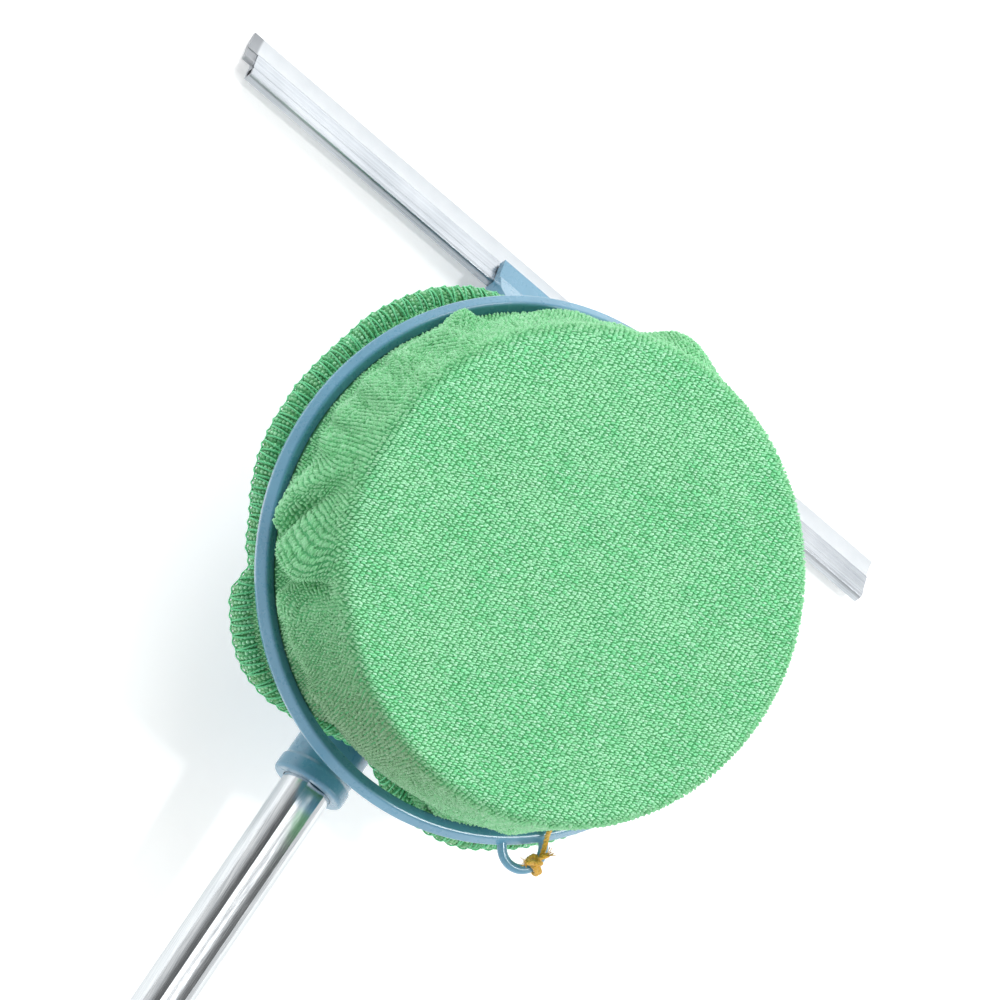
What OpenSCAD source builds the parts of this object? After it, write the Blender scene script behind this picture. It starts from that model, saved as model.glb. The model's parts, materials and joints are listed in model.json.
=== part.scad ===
// Window scrubber: a round microfibre pad on one side of the head, a squeegee on the other, one pole.
// It lies on its squeegee blade and on the rim of its end cap, with the pad facing up.
// +X runs along the squeegee, +Y along the pole towards the squeegee, and +Z is up.
// The origin is the middle of the floor that it covers. All sizes are millimetres and degrees.

/* [Pad] */
// Outer radius of the clamp hoop
ring_r = 110; // [95:1:130]
// Width of the hoop's band, measured outwards
ring_band = 7.4; // [6:0.2:10]
// Depth of the hoop from front to back
ring_depth = 8; // [6:0.5:12]
// Thickness of the microfibre cloth
cloth_t = 1.8; // [1:0.1:2.5]
// Height of the drum's front plate above the middle of the hoop
drum_up = 36; // [25:1:45]
// Reach of the drum's wall behind the middle of the hoop
drum_back = 10; // [8:0.5:16]
// Radius that the drum loses from the hoop to its front plate
drum_taper = 3; // [1:0.5:6]
// Thickness of the drum's moulded walls
drum_wall = 2.5; // [2:0.1:4]
// Number of ribs behind the drum's front plate
rib_count = 8; // [4:4:12]
// Width of the notch in the drum's wall that the neck passes
notch_w = 68; // [60:1:72]
// Thickness of the foam disc
foam_t = 28.8; // [15:0.2:45]
// How much the folds of the side wall stand out
fold_gain = 1; // [0.3:0.1:1.2]
// Diameter of the rolled hem
hem_d = 10; // [7:0.5:12]

/* [Hoop eye and tether] */
// Place of the eye round the hoop, from +X towards +Y
eye_at = 311; // [290:1:330]
// Thickness of the eye's rod
eye_rod = 4; // [3:0.2:5]
// Radius of the eye's bow, to the middle of its rod
eye_bow = 9; // [7:0.5:12]
// Diameter of the tether cord
cord_d = 2.2; // [1.5:0.1:3]
// Radius of the tether's knot
knot_r = 2.8; // [2.2:0.1:4]

/* [Neck] */
// Height of the hoop's middle above the pole's axis
head_rise = 56.4; // [50:0.5:70]
// Cant of the pad against the pole
pad_cant = 5; // [0:0.5:10]
// Outer radius of the pole socket
socket_r = 15; // [14:0.5:18]
// Distance from the pad's axis to the mouth of the socket
mouth_y = 113; // [105:1:130]
// Depth of the bore that takes the pole
socket_bore = 55; // [40:1:60]
// Thickness of the neck's middle web
web_t = 5; // [3:0.5:8]
// Width of the neck's outer flanges
flange_w = 26; // [20:1:30]
// Thickness of the neck's outer flanges
flange_t = 3.2; // [2.5:0.1:5]
// Radius of the round plate that carries the drum
plate_r = 42; // [38:1:48]
// Thickness of the round plate that carries the drum
plate_t = 4; // [3:0.5:6]
// Radius of the circle of drum screws
screw_circle = 35; // [30:1:36]

/* [Squeegee] */
// Length of the aluminium channel
bar_len = 350; // [250:5:450]
// Length of rubber that stands out at the left end
rubber_over = 5; // [0:0.5:10]
// Place of the channel's lower front edge along the pole
bar_y = 119.8; // [115:0.5:135]
// Drop of the channel's lower front edge below the pole's axis
bar_drop = 51.8; // [48:0.5:65]
// Lean of the channel away from the pole's direction
bar_lean = 32; // [20:1:40]
// Height of the channel
bar_h = 13.5; // [12.5:0.5:18]
// Thickness of the channel's foot
bar_t = 5; // [4.6:0.1:7]
// Turn of the rubber lip towards the front
lip_turn = 25; // [5:1:35]
// Radius of the rubber lip's curve
lip_curve = 20.8; // [15:0.5:30]
// Thickness of the lip at its edge
lip_edge = 1.3; // [0.8:0.1:1.8]

/* [Squeegee holder] */
// Width of the holder at the channel
holder_w = 77; // [60:1:100]
// Width of the holder's arm at the neck
arm_w = 36; // [30:1:50]
// Lean of the holder's arm away from the pole's direction
arm_lean = 53; // [45:1:60]
// Thickness of the holder's arm
arm_t = 9; // [7:0.5:12]
// Thickness of the jaw in front of the channel
jaw_t = 3.4; // [2.5:0.1:5]
// Height of the jaw in front of the channel
jaw_h = 11.4; // [6:0.2:12]
// Thickness of the clamp plate behind the channel
clamp_t = 3; // [2:0.2:3.4]
// Width of the clamp plate
clamp_w = 62; // [50:1:74]

/* [Pole] */
// Outer diameter of the upper tube
upper_d = 22; // [18:0.5:22]
// Wall of both tubes
tube_wall = 1; // [0.8:0.1:1.2]
// Length of the upper tube
upper_len = 520; // [450:10:700]
// Length of upper tube that shows above the lock
pole_out = 150; // [145:5:200]
// Outer diameter of the lower tube
lower_d = 25; // [25:0.5:26]
// Length of the lower tube
lower_len = 480; // [460:10:600]
// Number of flutes along the upper tube
flute_count = 3; // [3:1:5]
// Radius of a flute
flute_r = 15; // [12:1:20]
// Depth of a flute
flute_depth = 1.6; // [0.8:0.1:2]
// Length of the twist lock's nut
nut_len = 45.7; // [42:0.5:60]
// Outer radius of the twist lock's nut
nut_r = 17.5; // [17:0.5:20]
// Number of scallops round the nut
nut_scallops = 20; // [12:1:28]
// Length of the handle grip
grip_len = 120; // [90:5:150]
// Outer radius of the handle grip
grip_r = 15.5; // [14.5:0.5:17]
// Number of grooves round the grip
grip_grooves = 7; // [3:1:9]
// Radius of the end cap's rim
cap_r = 16.5; // [16:0.5:19]
// Radius of the hanging hole
hang_r = 4; // [3:0.5:5]
// Thickness of the hanging tongue
tongue_t = 7; // [5:0.5:10]

/* [Hidden] */
$fn = 64;

// Clearances
face_gap = 0.2;
soft_gap = 0.3;
slide_gap = 0.06;
turn_gap = 0.08;
bore_gap = 0.1;
cut = 1;

// Small vector helpers
function unit(v) = v / norm(v);
function polar(r, a, z) = [r * cos(a), r * sin(a), z];
function turned(v, a) = [v.x * cos(a) - v.y * sin(a), v.x * sin(a) + v.y * cos(a)];

// Outlines with rounded corners: each corner is [x, y, radius]
function corner(a, b, c, steps) =
    let (
        u = unit([a.x - b.x, a.y - b.y]),
        v = unit([c.x - b.x, c.y - b.y]),
        half = acos(u * v) / 2,
        middle = [b.x, b.y] + unit(u + v) * b.z / sin(half),
        p = [b.x, b.y] + u * b.z / tan(half),
        q = [b.x, b.y] + v * b.z / tan(half),
        from = atan2(p.y - middle.y, p.x - middle.x),
        to = atan2(q.y - middle.y, q.x - middle.x),
        turn = (to - from + 540) % 360 - 180
    )
    [for (i = [0:steps]) middle + b.z * [cos(from + turn * i / steps), sin(from + turn * i / steps)]];
function rounded(points, steps = 5) =
    let (n = len(points))
    [for (i = [0:n - 1]) each corner(points[(i + n - 1) % n], points[i], points[(i + 1) % n], steps)];
function inset(points, d) =
    let (n = len(points))
    [
        for (i = [0:n - 1])
        let (
            a = points[(i + n - 1) % n],
            b = points[i],
            c = points[(i + 1) % n],
            e = unit([b.x - a.x, b.y - a.y]),
            f = unit([c.x - b.x, c.y - b.y]),
            m = [-e.y, e.x],
            k = [-f.y, f.x],
            s = d / (1 + m * k)
        )
        [b.x + (m.x + k.x) * s, b.y + (m.y + k.y) * s, b.z]
    ];

// Pad sizes that follow from the hoop
hoop_in = ring_r - ring_band;
cover_seat = hoop_in - soft_gap;
drum_seat = cover_seat - cloth_t - face_gap;
drum_top_r = drum_seat - drum_taper;
foam_inset = 0.4;
foam_r = drum_top_r - foam_inset;
foam_top = drum_up + foam_t;
face_z = foam_top + face_gap + cloth_t;
pad_r = foam_r + soft_gap + cloth_t;
hem_r = hem_d / 2;
cover_steps = 56;

// Folds of the side wall: place round the pad, height of the fold, half of its width
fold_list = [
    [12, 1.5, 7], [36, 2, 8], [62, 2, 8], [97, 6.5, 11], [131, 3.5, 8], [151, 4, 5], [168, 1.5, 6],
    [199, 5.5, 5], [211, 6, 5], [225, 4, 5], [246, 1, 6], [303, 2, 5], [334, 5.5, 8], [352, 1.5, 6],
];
function away(a, b) = abs((a - b + 540) % 360 - 180);
function folds(a) = fold_gain * sum_list([for (f = fold_list) f.y * exp(-pow(away(a, f.x) / f.z, 2))]);
function sum_list(v, i = 0) = i < len(v) ? v[i] + sum_list(v, i + 1) : 0;

// The rolled hem's middle line every 15 degrees round the pad: radius beyond the cloth's seat, drop
hem_line = [
    [4, 19], [5, 20], [4, 19], [3, 19], [3, 18], [2, 18], [1, 18], [2, 19],
    [5, 20], [8, 20], [7.5, 20], [4.7, 20], [4, 20], [2.5, 20], [-1.5, 20], [5.5, 20],
    [5.2, 20], [-6.5, 20], [-16, 19], [-4, 20], [4, 21], [5, 20], [5, 20], [4, 19],
];
function smooth(p, q, r, s, t) =
    q + t * ((r - p) + t * ((2 * p - 5 * q + 4 * r - s) + t * (3 * (q - r) + s - p))) / 2;
function round_value(list, a) =
    let (n = len(list), x = (a / 360) * n, i = floor(x))
    smooth(list[(i + n - 1) % n], list[i % n], list[(i + 1) % n], list[(i + 2) % n], x - i);
// The cover is drawn in where the neck passes: 1 in the notch, 0 outside it
neck_side = 270;
notch_edge = asin(notch_w / 2 / drum_seat) - 0.5;
notch_ease = 6;
function drawn_in(a) =
    let (t = max(0, min(1, (notch_edge - away(a, neck_side)) / notch_ease)))
    t * t * (3 - 2 * t);
function mix(a, b, t) = a + (b - a) * t;
function hem_middle(a) = let (v = round_value(hem_line, a)) [cover_seat + v.x, -v.y];

// Places on the pad's axis, seen in the pole's own frame: [y, z] from [y, z] of the pad
function head_point(y, z) = turned([y, z + head_rise], pad_cant);

// Squeegee and arm frames: [y, z] of the pole's frame from heights along and out of each face
bar_at = [bar_y, -bar_drop];
function bar_point(y, z) = bar_at + turned([y, z], -bar_lean);
function arm_point(y, z) = bar_at + turned([y, z], -arm_lean);
arm_front = 4.3;
arm_back = arm_front - arm_t;
root_low = -6.5;
root_high = 35;
function arm_reach(z) = (bar_at.y - z + arm_back * cos(arm_lean)) / sin(arm_lean);
arm_len = -arm_reach(root_high);
arm_screw_ends = [14, 38];
channel_slot_z = -bar_t / 2;

// Rubber lip: thickness tapers from the channel's mouth to the edge
lip_root = 2.4;
lip_steps = 8;
lip_start = bar_h + face_gap;
function lip_point(i, side) =
    let (
        a = lip_turn * i / lip_steps,
        t = lip_root + (lip_edge - lip_root) * i / lip_steps,
        rho = lip_curve - side * t / 2
    )
    [lip_start + rho * sin(a), channel_slot_z + lip_curve - rho * cos(a)];
lip_back_edge = lip_point(lip_steps, -1);
lip_front_edge = lip_point(lip_steps, 1);

// Pole sizes and places along the axis, counted from the pad's axis towards the hand
upper_r = upper_d / 2;
lower_r = lower_d / 2;
lower_bore = lower_r - tube_wall;
lock_at = mouth_y + pole_out;
nut_wall = 4;
cone_len = 10;
collet_at = lock_at + nut_wall + soft_gap;
collet_step = 26;
collet_flange_t = 6;
collet_r = lower_r + 2;
collet_tip = upper_r + 1.6;
nut_bore = collet_r + turn_gap;
lower_at = lock_at + collet_step;
lower_end = lower_at + lower_len;
upper_at = mouth_y - socket_bore + 2;
upper_end = upper_at + upper_len;
bush_flange = 9.8;
bush_stem = 24;
cap_stem = 20;
cap_rim_at = lower_end + face_gap;
cap_rim_t = 6;
tongue_r = hang_r + 7;
hang_at = cap_rim_at + cap_rim_t + tongue_r + 1;

// Rest pose: the rubber's edge and the cap's rim touch the floor
blade_low = bar_point(lip_back_edge.x, lip_back_edge.y);
blade_far = bar_point(lip_front_edge.x, lip_front_edge.y);
rim_low = [-(cap_rim_at + cap_rim_t), -cap_r];
rest_tilt = atan((rim_low.y - blade_low.y) / (blade_low.x - rim_low.x));
rest_far = max(turned(blade_low, rest_tilt).x, turned(blade_far, rest_tilt).x);
rest_near = turned([-hang_at, 0], rest_tilt).x - tongue_r;
rest_shift = [rubber_over / 2, -(rest_far + rest_near) / 2, -turned(blade_low, rest_tilt).y];

plastic = "#6d9cb8";
aluminium = "#c9ccd0";
steel = "#9a9da1";
green = "#62c083";
dark_green = "#2f8f55";

module placed() translate(rest_shift) rotate([rest_tilt, 0, 0]) children();
// Along the pole: local +Z points towards the hand, zero at the pad's axis
module on_pole() placed() rotate([90, 0, 0]) children();
// On the pad's axis: local z = 0 is the middle of the hoop
module on_head() placed() rotate([pad_cant, 0, 0]) translate([0, 0, head_rise]) children();
module on_bar() placed() translate([0, bar_at.x, bar_at.y]) rotate([-bar_lean, 0, 0]) children();
module on_arm() placed() translate([0, bar_at.x, bar_at.y]) rotate([-arm_lean, 0, 0]) children();
// Extrudes an outline of [y, z] points to both sides of x = 0
module side_plate(width) rotate([90, 0, 90]) linear_extrude(width, center = true) children();
module bar_extrusion(x_low, x_high) translate([x_low, 0, 0]) rotate([90, 0, 90])
    linear_extrude(x_high - x_low) children();

// A closed or open tube of triangles along points, round r, with flat ends
module swept_tube(points, r, sides, closed = false) {
    n = len(points);
    rings = [
        for (i = [0:n - 1])
        let (
            before = closed ? points[(i + n - 1) % n] : points[max(i - 1, 0)],
            after = closed ? points[(i + 1) % n] : points[min(i + 1, n - 1)],
            t = unit(after - before),
            u = unit(cross([0, 0, 1], t)),
            v = cross(t, u)
        )
        [for (k = [0:sides - 1]) points[i] + r * (u * cos(360 * k / sides) + v * sin(360 * k / sides))]
    ];
    last = closed ? n - 1 : n - 2;
    walls = [
        for (i = [0:last], k = [0:sides - 1])
        let (
            j = (i + 1) % n,
            m = (k + 1) % sides,
            a = i * sides + k,
            b = i * sides + m,
            c = j * sides + m,
            d = j * sides + k
        )
        each [[a, c, b], [a, d, c]]
    ];
    ends = closed ? [] : [
        for (k = [1:sides - 2]) each [
            [0, k, k + 1],
            [(n - 1) * sides, (n - 1) * sides + k + 1, (n - 1) * sides + k],
        ]
    ];
    polyhedron([for (ring = rings) each ring], concat(walls, ends));
}

// The hoop: a band with a soft ridge on its front, and an eye for the tether
eye_root = 3;
module clamp_hoop() color(plastic) on_head() {
    half = ring_depth / 2;
    rotate_extrude($fn = 128) polygon(rounded([
        [hoop_in, -half, 0.9],
        [ring_r - 0.6, -half, 1],
        [ring_r, -half * 0.1, 1.4],
        [hoop_in + ring_band * 0.58, half, 1.2],
        [hoop_in, half * 0.25, 1.2],
    ], 4));
    rotate([0, 0, eye_at]) translate([ring_r + 1, 0, -1]) {
        rotate([0, 0, -90]) rotate_extrude(angle = 180, $fn = 48)
            translate([eye_bow, 0]) circle(eye_rod / 2);
        for (side = [-1, 1])
            translate([-eye_root, side * eye_bow, 0]) rotate([0, 90, 0])
                cylinder(r = eye_rod / 2, h = eye_root + 0.01);
    }
}

// The cover: a cup of cloth with folds in its wall, drawn under the hoop and out to the hem
// Rows of its wall: distance behind the face, and the share of a fold's height that the row takes
cover_rows = [[14, 0.35], [28, 0.8], [44, 1]];
face_edge = 4;
above_hoop = 5;
above_hoop_share = 0.7;
// How far the cover is drawn in at the neck: above the hoop, under it and behind it
tuck_above = 3.3;
tuck_under = 4.7;
tuck_behind = 10.3;
function wall_at(z) =
    pad_r + (cover_seat - pad_r) * (face_z - z) / (face_z - ring_depth / 2);
function cover_section(a) =
    let (
        f = folds(a),
        n = drawn_in(a),
        wall = [
            for (i = [0:len(cover_rows) - 1])
            let (z = face_z - cover_rows[i].x, r = wall_at(z) + f * cover_rows[i].y)
            [i < len(cover_rows) - 1 ? r : mix(r, pad_r + 1, n), z]
        ],
        high = [
            mix(cover_seat + f * above_hoop_share, cover_seat - tuck_above, n),
            ring_depth / 2 + above_hoop
        ],
        middle = [mix(cover_seat, cover_seat - tuck_under, n), ring_depth / 2 + face_gap],
        low = [mix(cover_seat, cover_seat - tuck_behind, n), -ring_depth / 2],
        hem = hem_middle(a),
        pull = unit(low - hem),
        end = hem + pull * (hem_r + soft_gap),
        side = [-pull.y, pull.x] * cloth_t / 2,
        half_way = (low + end - side) / 2,
        thick = [cloth_t, 0]
    )
    [
        [pad_r - 5, face_z],
        [pad_r - 1.4, face_z - 0.9],
        [pad_r, face_z - face_edge],
        each wall,
        high,
        middle,
        low,
        half_way,
        end - side,
        end + side,
        half_way + side * 2,
        low - thick,
        middle - thick,
        high - thick,
        for (i = [len(wall) - 1:-1:0]) wall[i] - thick,
        [pad_r - cloth_t, face_z - face_edge],
        [pad_r - cloth_t, face_z - cloth_t],
    ];
module cloth_cover() color(green) on_head() {
    sections = [for (i = [0:cover_steps - 1]) cover_section(360 * i / cover_steps)];
    rows = len(sections[0]);
    points = [
        for (i = [0:cover_steps - 1], p = sections[i]) polar(p.x, 360 * i / cover_steps, p.y),
        [0, 0, face_z],
        [0, 0, face_z - cloth_t],
    ];
    top = cover_steps * rows;
    walls = [
        for (i = [0:cover_steps - 1], j = [0:rows - 2])
        let (k = (i + 1) % cover_steps, a = i * rows + j, b = k * rows + j)
        each [[a, b + 1, a + 1], [a, b, b + 1]]
    ];
    caps = [
        for (i = [0:cover_steps - 1])
        let (k = (i + 1) % cover_steps)
        each [[top, k * rows, i * rows], [top + 1, i * rows + rows - 1, k * rows + rows - 1]]
    ];
    polyhedron(points, concat(walls, caps));
}

// The hem: the cover's edge rolled over its elastic, behind the hoop
module cover_hem() color(dark_green) on_head() {
    steps = 72;
    swept_tube([
        for (i = [0:steps - 1])
        let (a = 360 * i / steps, p = hem_middle(a))
        polar(p.x, a, p.y)
    ], hem_r, 8, closed = true);
}

// The tether: a short cord from the cover over the hoop to its knot on the eye
cord_route = [
    [71.4, -70.8, 30],
    [72.6, -72, 26],
    [73, -72.2, 20],
    [73.2, -72.5, 14],
    [73.9, -73.1, 10],
    [75.4, -74.9, 7],
    [77, -77.4, 5.8],
    [78.6, -80.6, 5.2],
    [79.8, -84, 4.8],
];
knot_turn = 28;
knot_swing = 24;
rod_point = [ring_r + 1 + eye_bow * cos(knot_turn), eye_bow * sin(knot_turn), -1];
wrap_r = eye_rod / 2 + cord_d / 2 + soft_gap;
knot_out = eye_rod / 2 + knot_r + soft_gap;
knot_tail = [5, 1, 5.5];
loop_steps = 18;
module tether_cord() color("#e0a52c") on_head() swept_tube(cord_route, cord_d / 2, 8);
module tether_knot() color("#e0a52c") on_head() rotate([0, 0, eye_at]) translate(rod_point)
    rotate([0, 0, knot_turn]) rotate([-90, 0, 0]) rotate([0, 0, -90 - knot_swing]) {
        // A hair out of its plane, because a ring's sides are turned from the local z axis
        swept_tube(
            [
                for (i = [0:loop_steps - 1])
                let (a = 360 * i / loop_steps)
                polar(wrap_r, a, 0.001 * cos(a))
            ],
            cord_d / 2, 8, closed = true
        );
        translate([knot_out, 0, 0]) sphere(knot_r, $fn = 12);
        for (side = [-1, 1])
            swept_tube(
                [[knot_out, 0, 0], [knot_out + knot_tail.x, side * knot_tail.y, side * knot_tail.z]],
                cord_d / 2, 8
            );
    }

module foam_disc() color("#dfe6a8") on_head() translate([0, 0, drum_up])
    rotate_extrude($fn = 96) polygon([
        [0, 0], [foam_r, 0], [foam_r, foam_t - 3], [foam_r - 3, foam_t], [0, foam_t],
    ]);

// The drum: a moulded tray with a front plate for the foam and ribs behind it
drum_land = ring_depth / 2 + 1;
drum_lip = 0.8;
hub_r = screw_circle + drum_wall / 2;
rib_t = 2.2;
boss_r = 5;
pilot_r = 1.9;
screw_r = 1.8;
drum_screw_len = 20;
notch_depth = 16;
notch_top = drum_up - 8;
drum_shape = [
    [0, drum_up], [drum_top_r - 1, drum_up], [drum_top_r, drum_up - 1],
    [drum_seat, drum_land], [drum_seat, -drum_land], [drum_seat - drum_lip, -drum_back],
];
rib_low = 3 - drum_back;
module drum_bosses(r, z, h) {
    for (i = [0:3])
        rotate([0, 0, 45 + 90 * i]) translate([screw_circle, 0, z]) cylinder(r = r, h = h);
}
module drum_rib() rotate([90, 0, 0]) linear_extrude(rib_t, center = true) polygon([
    [hub_r - 1, rib_low],
    [drum_seat - drum_lip - 1, rib_low],
    [drum_seat - 1, -drum_land],
    [drum_seat - 1, drum_land],
    [drum_top_r - 1, drum_up - 1],
    [hub_r - 1, drum_up - 1],
]);
module backing_drum() color(plastic) on_head() difference() {
    union() {
        rotate_extrude($fn = 128) polygon(concat(drum_shape, [
            [drum_seat - drum_lip - drum_wall, -drum_back], [drum_seat - drum_wall, -drum_land],
            [drum_seat - drum_wall, drum_land], [drum_top_r - drum_wall, drum_up - drum_wall],
            [hub_r, drum_up - drum_wall], [hub_r, -drum_back], [hub_r - drum_wall, -drum_back],
            [hub_r - drum_wall, drum_up - drum_wall], [0, drum_up - drum_wall],
        ]));
        for (i = [0:rib_count - 1])
            rotate([0, 0, 360 * (i + 0.5) / rib_count]) drum_rib();
        drum_bosses(boss_r, -drum_back, drum_back + drum_up - 1);
    }
    drum_bosses(pilot_r, -drum_back - cut, drum_screw_len);
    // Notch for the neck
    translate([-notch_w / 2, -drum_seat - cut, -drum_back - cut])
        cube([notch_w, notch_depth + cut, notch_top + drum_back + cut]);
}

// Pan-head screws
head_h = 2.4;
head_r = 3.8;
module pan_screw(r, length) {
    translate([0, 0, -head_h]) cylinder(r = head_r, h = head_h, $fn = 32);
    translate([0, 0, -0.01]) cylinder(r = r, h = length + 0.01, $fn = 32);
}
plate_z = -drum_back - plate_t;
module drum_screws() color(steel) on_head() {
    for (i = [0:3])
        rotate([0, 0, 45 + 90 * i]) translate([screw_circle, 0, plate_z - face_gap / 4])
            pan_screw(screw_r, drum_screw_len - 2);
}

// The neck: a socket for the pole and an I-section that carries the drum and the squeegee's arm
arm_low = arm_point(arm_reach(root_low), arm_back);
arm_high = arm_point(arm_reach(root_high), arm_back);
web_half = 12.5;
neck_outline = [
    [-mouth_y + socket_bore - 12, -web_half, 1],
    [arm_low.x - 8, -web_half, 4],
    [arm_low.x, arm_low.y, 1.5],
    [arm_high.x, arm_high.y, 3],
    [head_point(plate_r - 4, plate_z + 1).x, head_point(plate_r - 4, plate_z + 1).y, 1],
    [head_point(4 - plate_r, plate_z + 1).x, head_point(4 - plate_r, plate_z + 1).y, 1],
    [-mouth_y + socket_bore + 6, web_half + 3, 8],
    [-mouth_y + socket_bore - 12, web_half, 1],
];
neck_ribs = [-24, 6, 36];
arm_boss_len = 15;
holder_screw_len = arm_t + 11;
rivet_at = mouth_y - 24;
rivet_r = 2;
module arm_screw_places() {
    for (s = arm_screw_ends)
        translate([0, -arm_len + s, arm_back]) children();
}
module neck_frame() color(plastic) difference() {
    union() {
        on_pole() rotate_extrude($fn = 64) polygon(rounded([
            [0, mouth_y, 0.01],
            [0, mouth_y - socket_bore - 14, 0.01],
            [socket_r - 2, mouth_y - socket_bore - 14, 2],
            [socket_r, mouth_y - socket_bore, 2],
            [socket_r, mouth_y - 8, 1],
            [socket_r + 0.9, mouth_y - 6.5, 1],
            [socket_r + 0.9, mouth_y, 1.6],
        ], 4));
        placed() side_plate(web_t) polygon(rounded(neck_outline));
        placed() side_plate(flange_w) difference() {
            polygon(rounded(neck_outline));
            polygon(rounded(inset(neck_outline, flange_t)));
        }
        placed() intersection() {
            side_plate(flange_w - 2) polygon(rounded(inset(neck_outline, 0.5)));
            for (y = neck_ribs)
                translate([-flange_w / 2, y, -web_half])
                    cube([flange_w, web_t / 2, head_rise + web_half]);
        }
        on_head() translate([0, 0, plate_z]) cylinder(r = plate_r, h = plate_t, $fn = 96);
        on_arm() arm_screw_places() translate([0, 0, -arm_boss_len])
            cylinder(r = boss_r, h = arm_boss_len);
    }
    on_pole() translate([0, 0, mouth_y - socket_bore])
        cylinder(r = upper_r + bore_gap, h = socket_bore + cut);
    on_head() drum_bosses(screw_r + bore_gap, plate_z - cut, plate_t + 2 * cut);
    on_arm() arm_screw_places() translate([0, 0, cut - arm_boss_len])
        cylinder(r = pilot_r, h = arm_boss_len);
    on_pole() translate([0, 0, rivet_at]) rotate([90, 0, 0])
        cylinder(r = rivet_r + bore_gap, h = socket_r + cut);
}
module socket_rivet() color(steel) on_pole() translate([0, 0, rivet_at]) rotate([90, 0, 0]) {
    translate([0, 0, upper_r - 3]) cylinder(r = rivet_r, h = socket_r - upper_r + 3.1);
    translate([0, 0, socket_r - 0.05]) rotate_extrude($fn = 32)
        polygon([[0, 0.1], [3.6, 0.1], [3.6, 0.5], [2.6, 1.4], [0, 1.7]]);
}

// The holder: an arm that widens into a jaw in front of the channel
clamp_screw_x = 22;
clamp_screw_y = -9;
clamp_screw_len = 8;
arm_top = 6;
arm_shoulder = -13;
arm_waist = -46;
arm_outline = [
    [-holder_w / 2, arm_top, 2],
    [-holder_w / 2, arm_shoulder, 5],
    [-arm_w / 2, arm_waist, 12],
    [-arm_w / 2, -arm_len, 6],
    [arm_w / 2, -arm_len, 6],
    [arm_w / 2, arm_waist, 12],
    [holder_w / 2, arm_shoulder, 5],
    [holder_w / 2, arm_top, 2],
];
arm_skin = 3.5;
hollow_wall = 4;
hollow_low = 46 - arm_len;
hollow_half = [
    [rib_t / 2, arm_shoulder - 3, 1],
    [holder_w / 2 - hollow_wall - 2, arm_shoulder - 3, 2],
    [arm_w / 2 - hollow_wall, arm_waist + 2, 6],
    [arm_w / 2 - hollow_wall, hollow_low, 2],
    [rib_t / 2, hollow_low, 1],
];
module clamp_screw_places() {
    for (side = [-1, 1])
        translate([side * clamp_screw_x, clamp_screw_y, arm_back]) children();
}
module squeegee_holder() color(plastic) difference() {
    union() {
        on_arm() translate([0, 0, arm_back]) linear_extrude(arm_t) polygon(rounded(arm_outline));
        on_bar() translate([-holder_w / 2, -6, face_gap]) cube([holder_w, jaw_h + 6, jaw_t]);
    }
    // Room for the channel, and the ledge in front of the jaw
    on_bar() translate([-holder_w, -face_gap, face_gap - 30]) cube([2 * holder_w, 40, 30]);
    on_bar() translate([-holder_w, -face_gap, face_gap + jaw_t]) cube([2 * holder_w, 40, 30]);
    // Hollow back between the clamp screws and the neck, on both sides of a middle rib
    on_arm() translate([0, 0, arm_back - cut])
        for (side = [0, 1])
            mirror([side, 0, 0]) linear_extrude(arm_t - arm_skin + cut) polygon(rounded(hollow_half));
    on_arm() arm_screw_places() translate([0, 0, -cut])
        cylinder(r = screw_r + bore_gap, h = arm_t + 2 * cut);
    on_arm() clamp_screw_places() translate([0, 0, -cut]) cylinder(r = pilot_r, h = clamp_screw_len - 1);
}
module holder_screws() color(steel) on_arm() arm_screw_places()
    translate([0, 0, arm_t + face_gap / 4]) rotate([180, 0, 0]) pan_screw(screw_r, holder_screw_len);

module clamp_plate() color(plastic) difference() {
    union() {
        on_bar() translate([-clamp_w / 2, -2, -bar_t - face_gap - clamp_t]) cube([clamp_w, 9, clamp_t]);
        on_arm() translate([-clamp_w / 2, -17, arm_back - face_gap / 2 - clamp_t])
            cube([clamp_w, 17.6, clamp_t]);
    }
    on_arm() clamp_screw_places() translate([0, 0, -clamp_t - cut])
        cylinder(r = screw_r + bore_gap, h = clamp_t + 2 * cut);
}
module clamp_screws() color(steel) on_arm() clamp_screw_places()
    translate([0, 0, -clamp_t - face_gap]) pan_screw(screw_r, clamp_screw_len);

// The channel: a hollow foot, and two walls round the slot that grips the rubber
foot_h = 6;
slot_half = 0.9;
bulb_r = 1.35;
bulb_y = 8.6;
channel_half = 2;
module channel_section() difference() {
    union() {
        polygon(rounded([[0, -bar_t, 1.2], [0, 0, 1.8], [foot_h, 0, 1.8], [foot_h, -bar_t, 1.2]], 4));
        polygon(rounded([
            [foot_h - 2, channel_slot_z - channel_half, 0.3],
            [foot_h - 2, channel_slot_z + channel_half, 0.3],
            [bar_h, channel_slot_z + channel_half, 0.5],
            [bar_h, channel_slot_z - channel_half, 0.5],
        ], 3));
    }
    polygon(rounded([[1.1, -bar_t + 1.1, 0.5], [1.1, -1.1, 0.9], [foot_h - 1.3, -1.1, 0.5],
        [foot_h - 1.3, -bar_t + 1.1, 0.5]], 3));
    translate([bulb_y, channel_slot_z]) circle(bulb_r + bore_gap, $fn = 32);
    translate([bulb_y, channel_slot_z - slot_half]) square([bar_h - bulb_y + cut, 2 * slot_half]);
}
module squeegee_channel() color(aluminium) on_bar()
    bar_extrusion(-bar_len / 2, bar_len / 2) channel_section();

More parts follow.
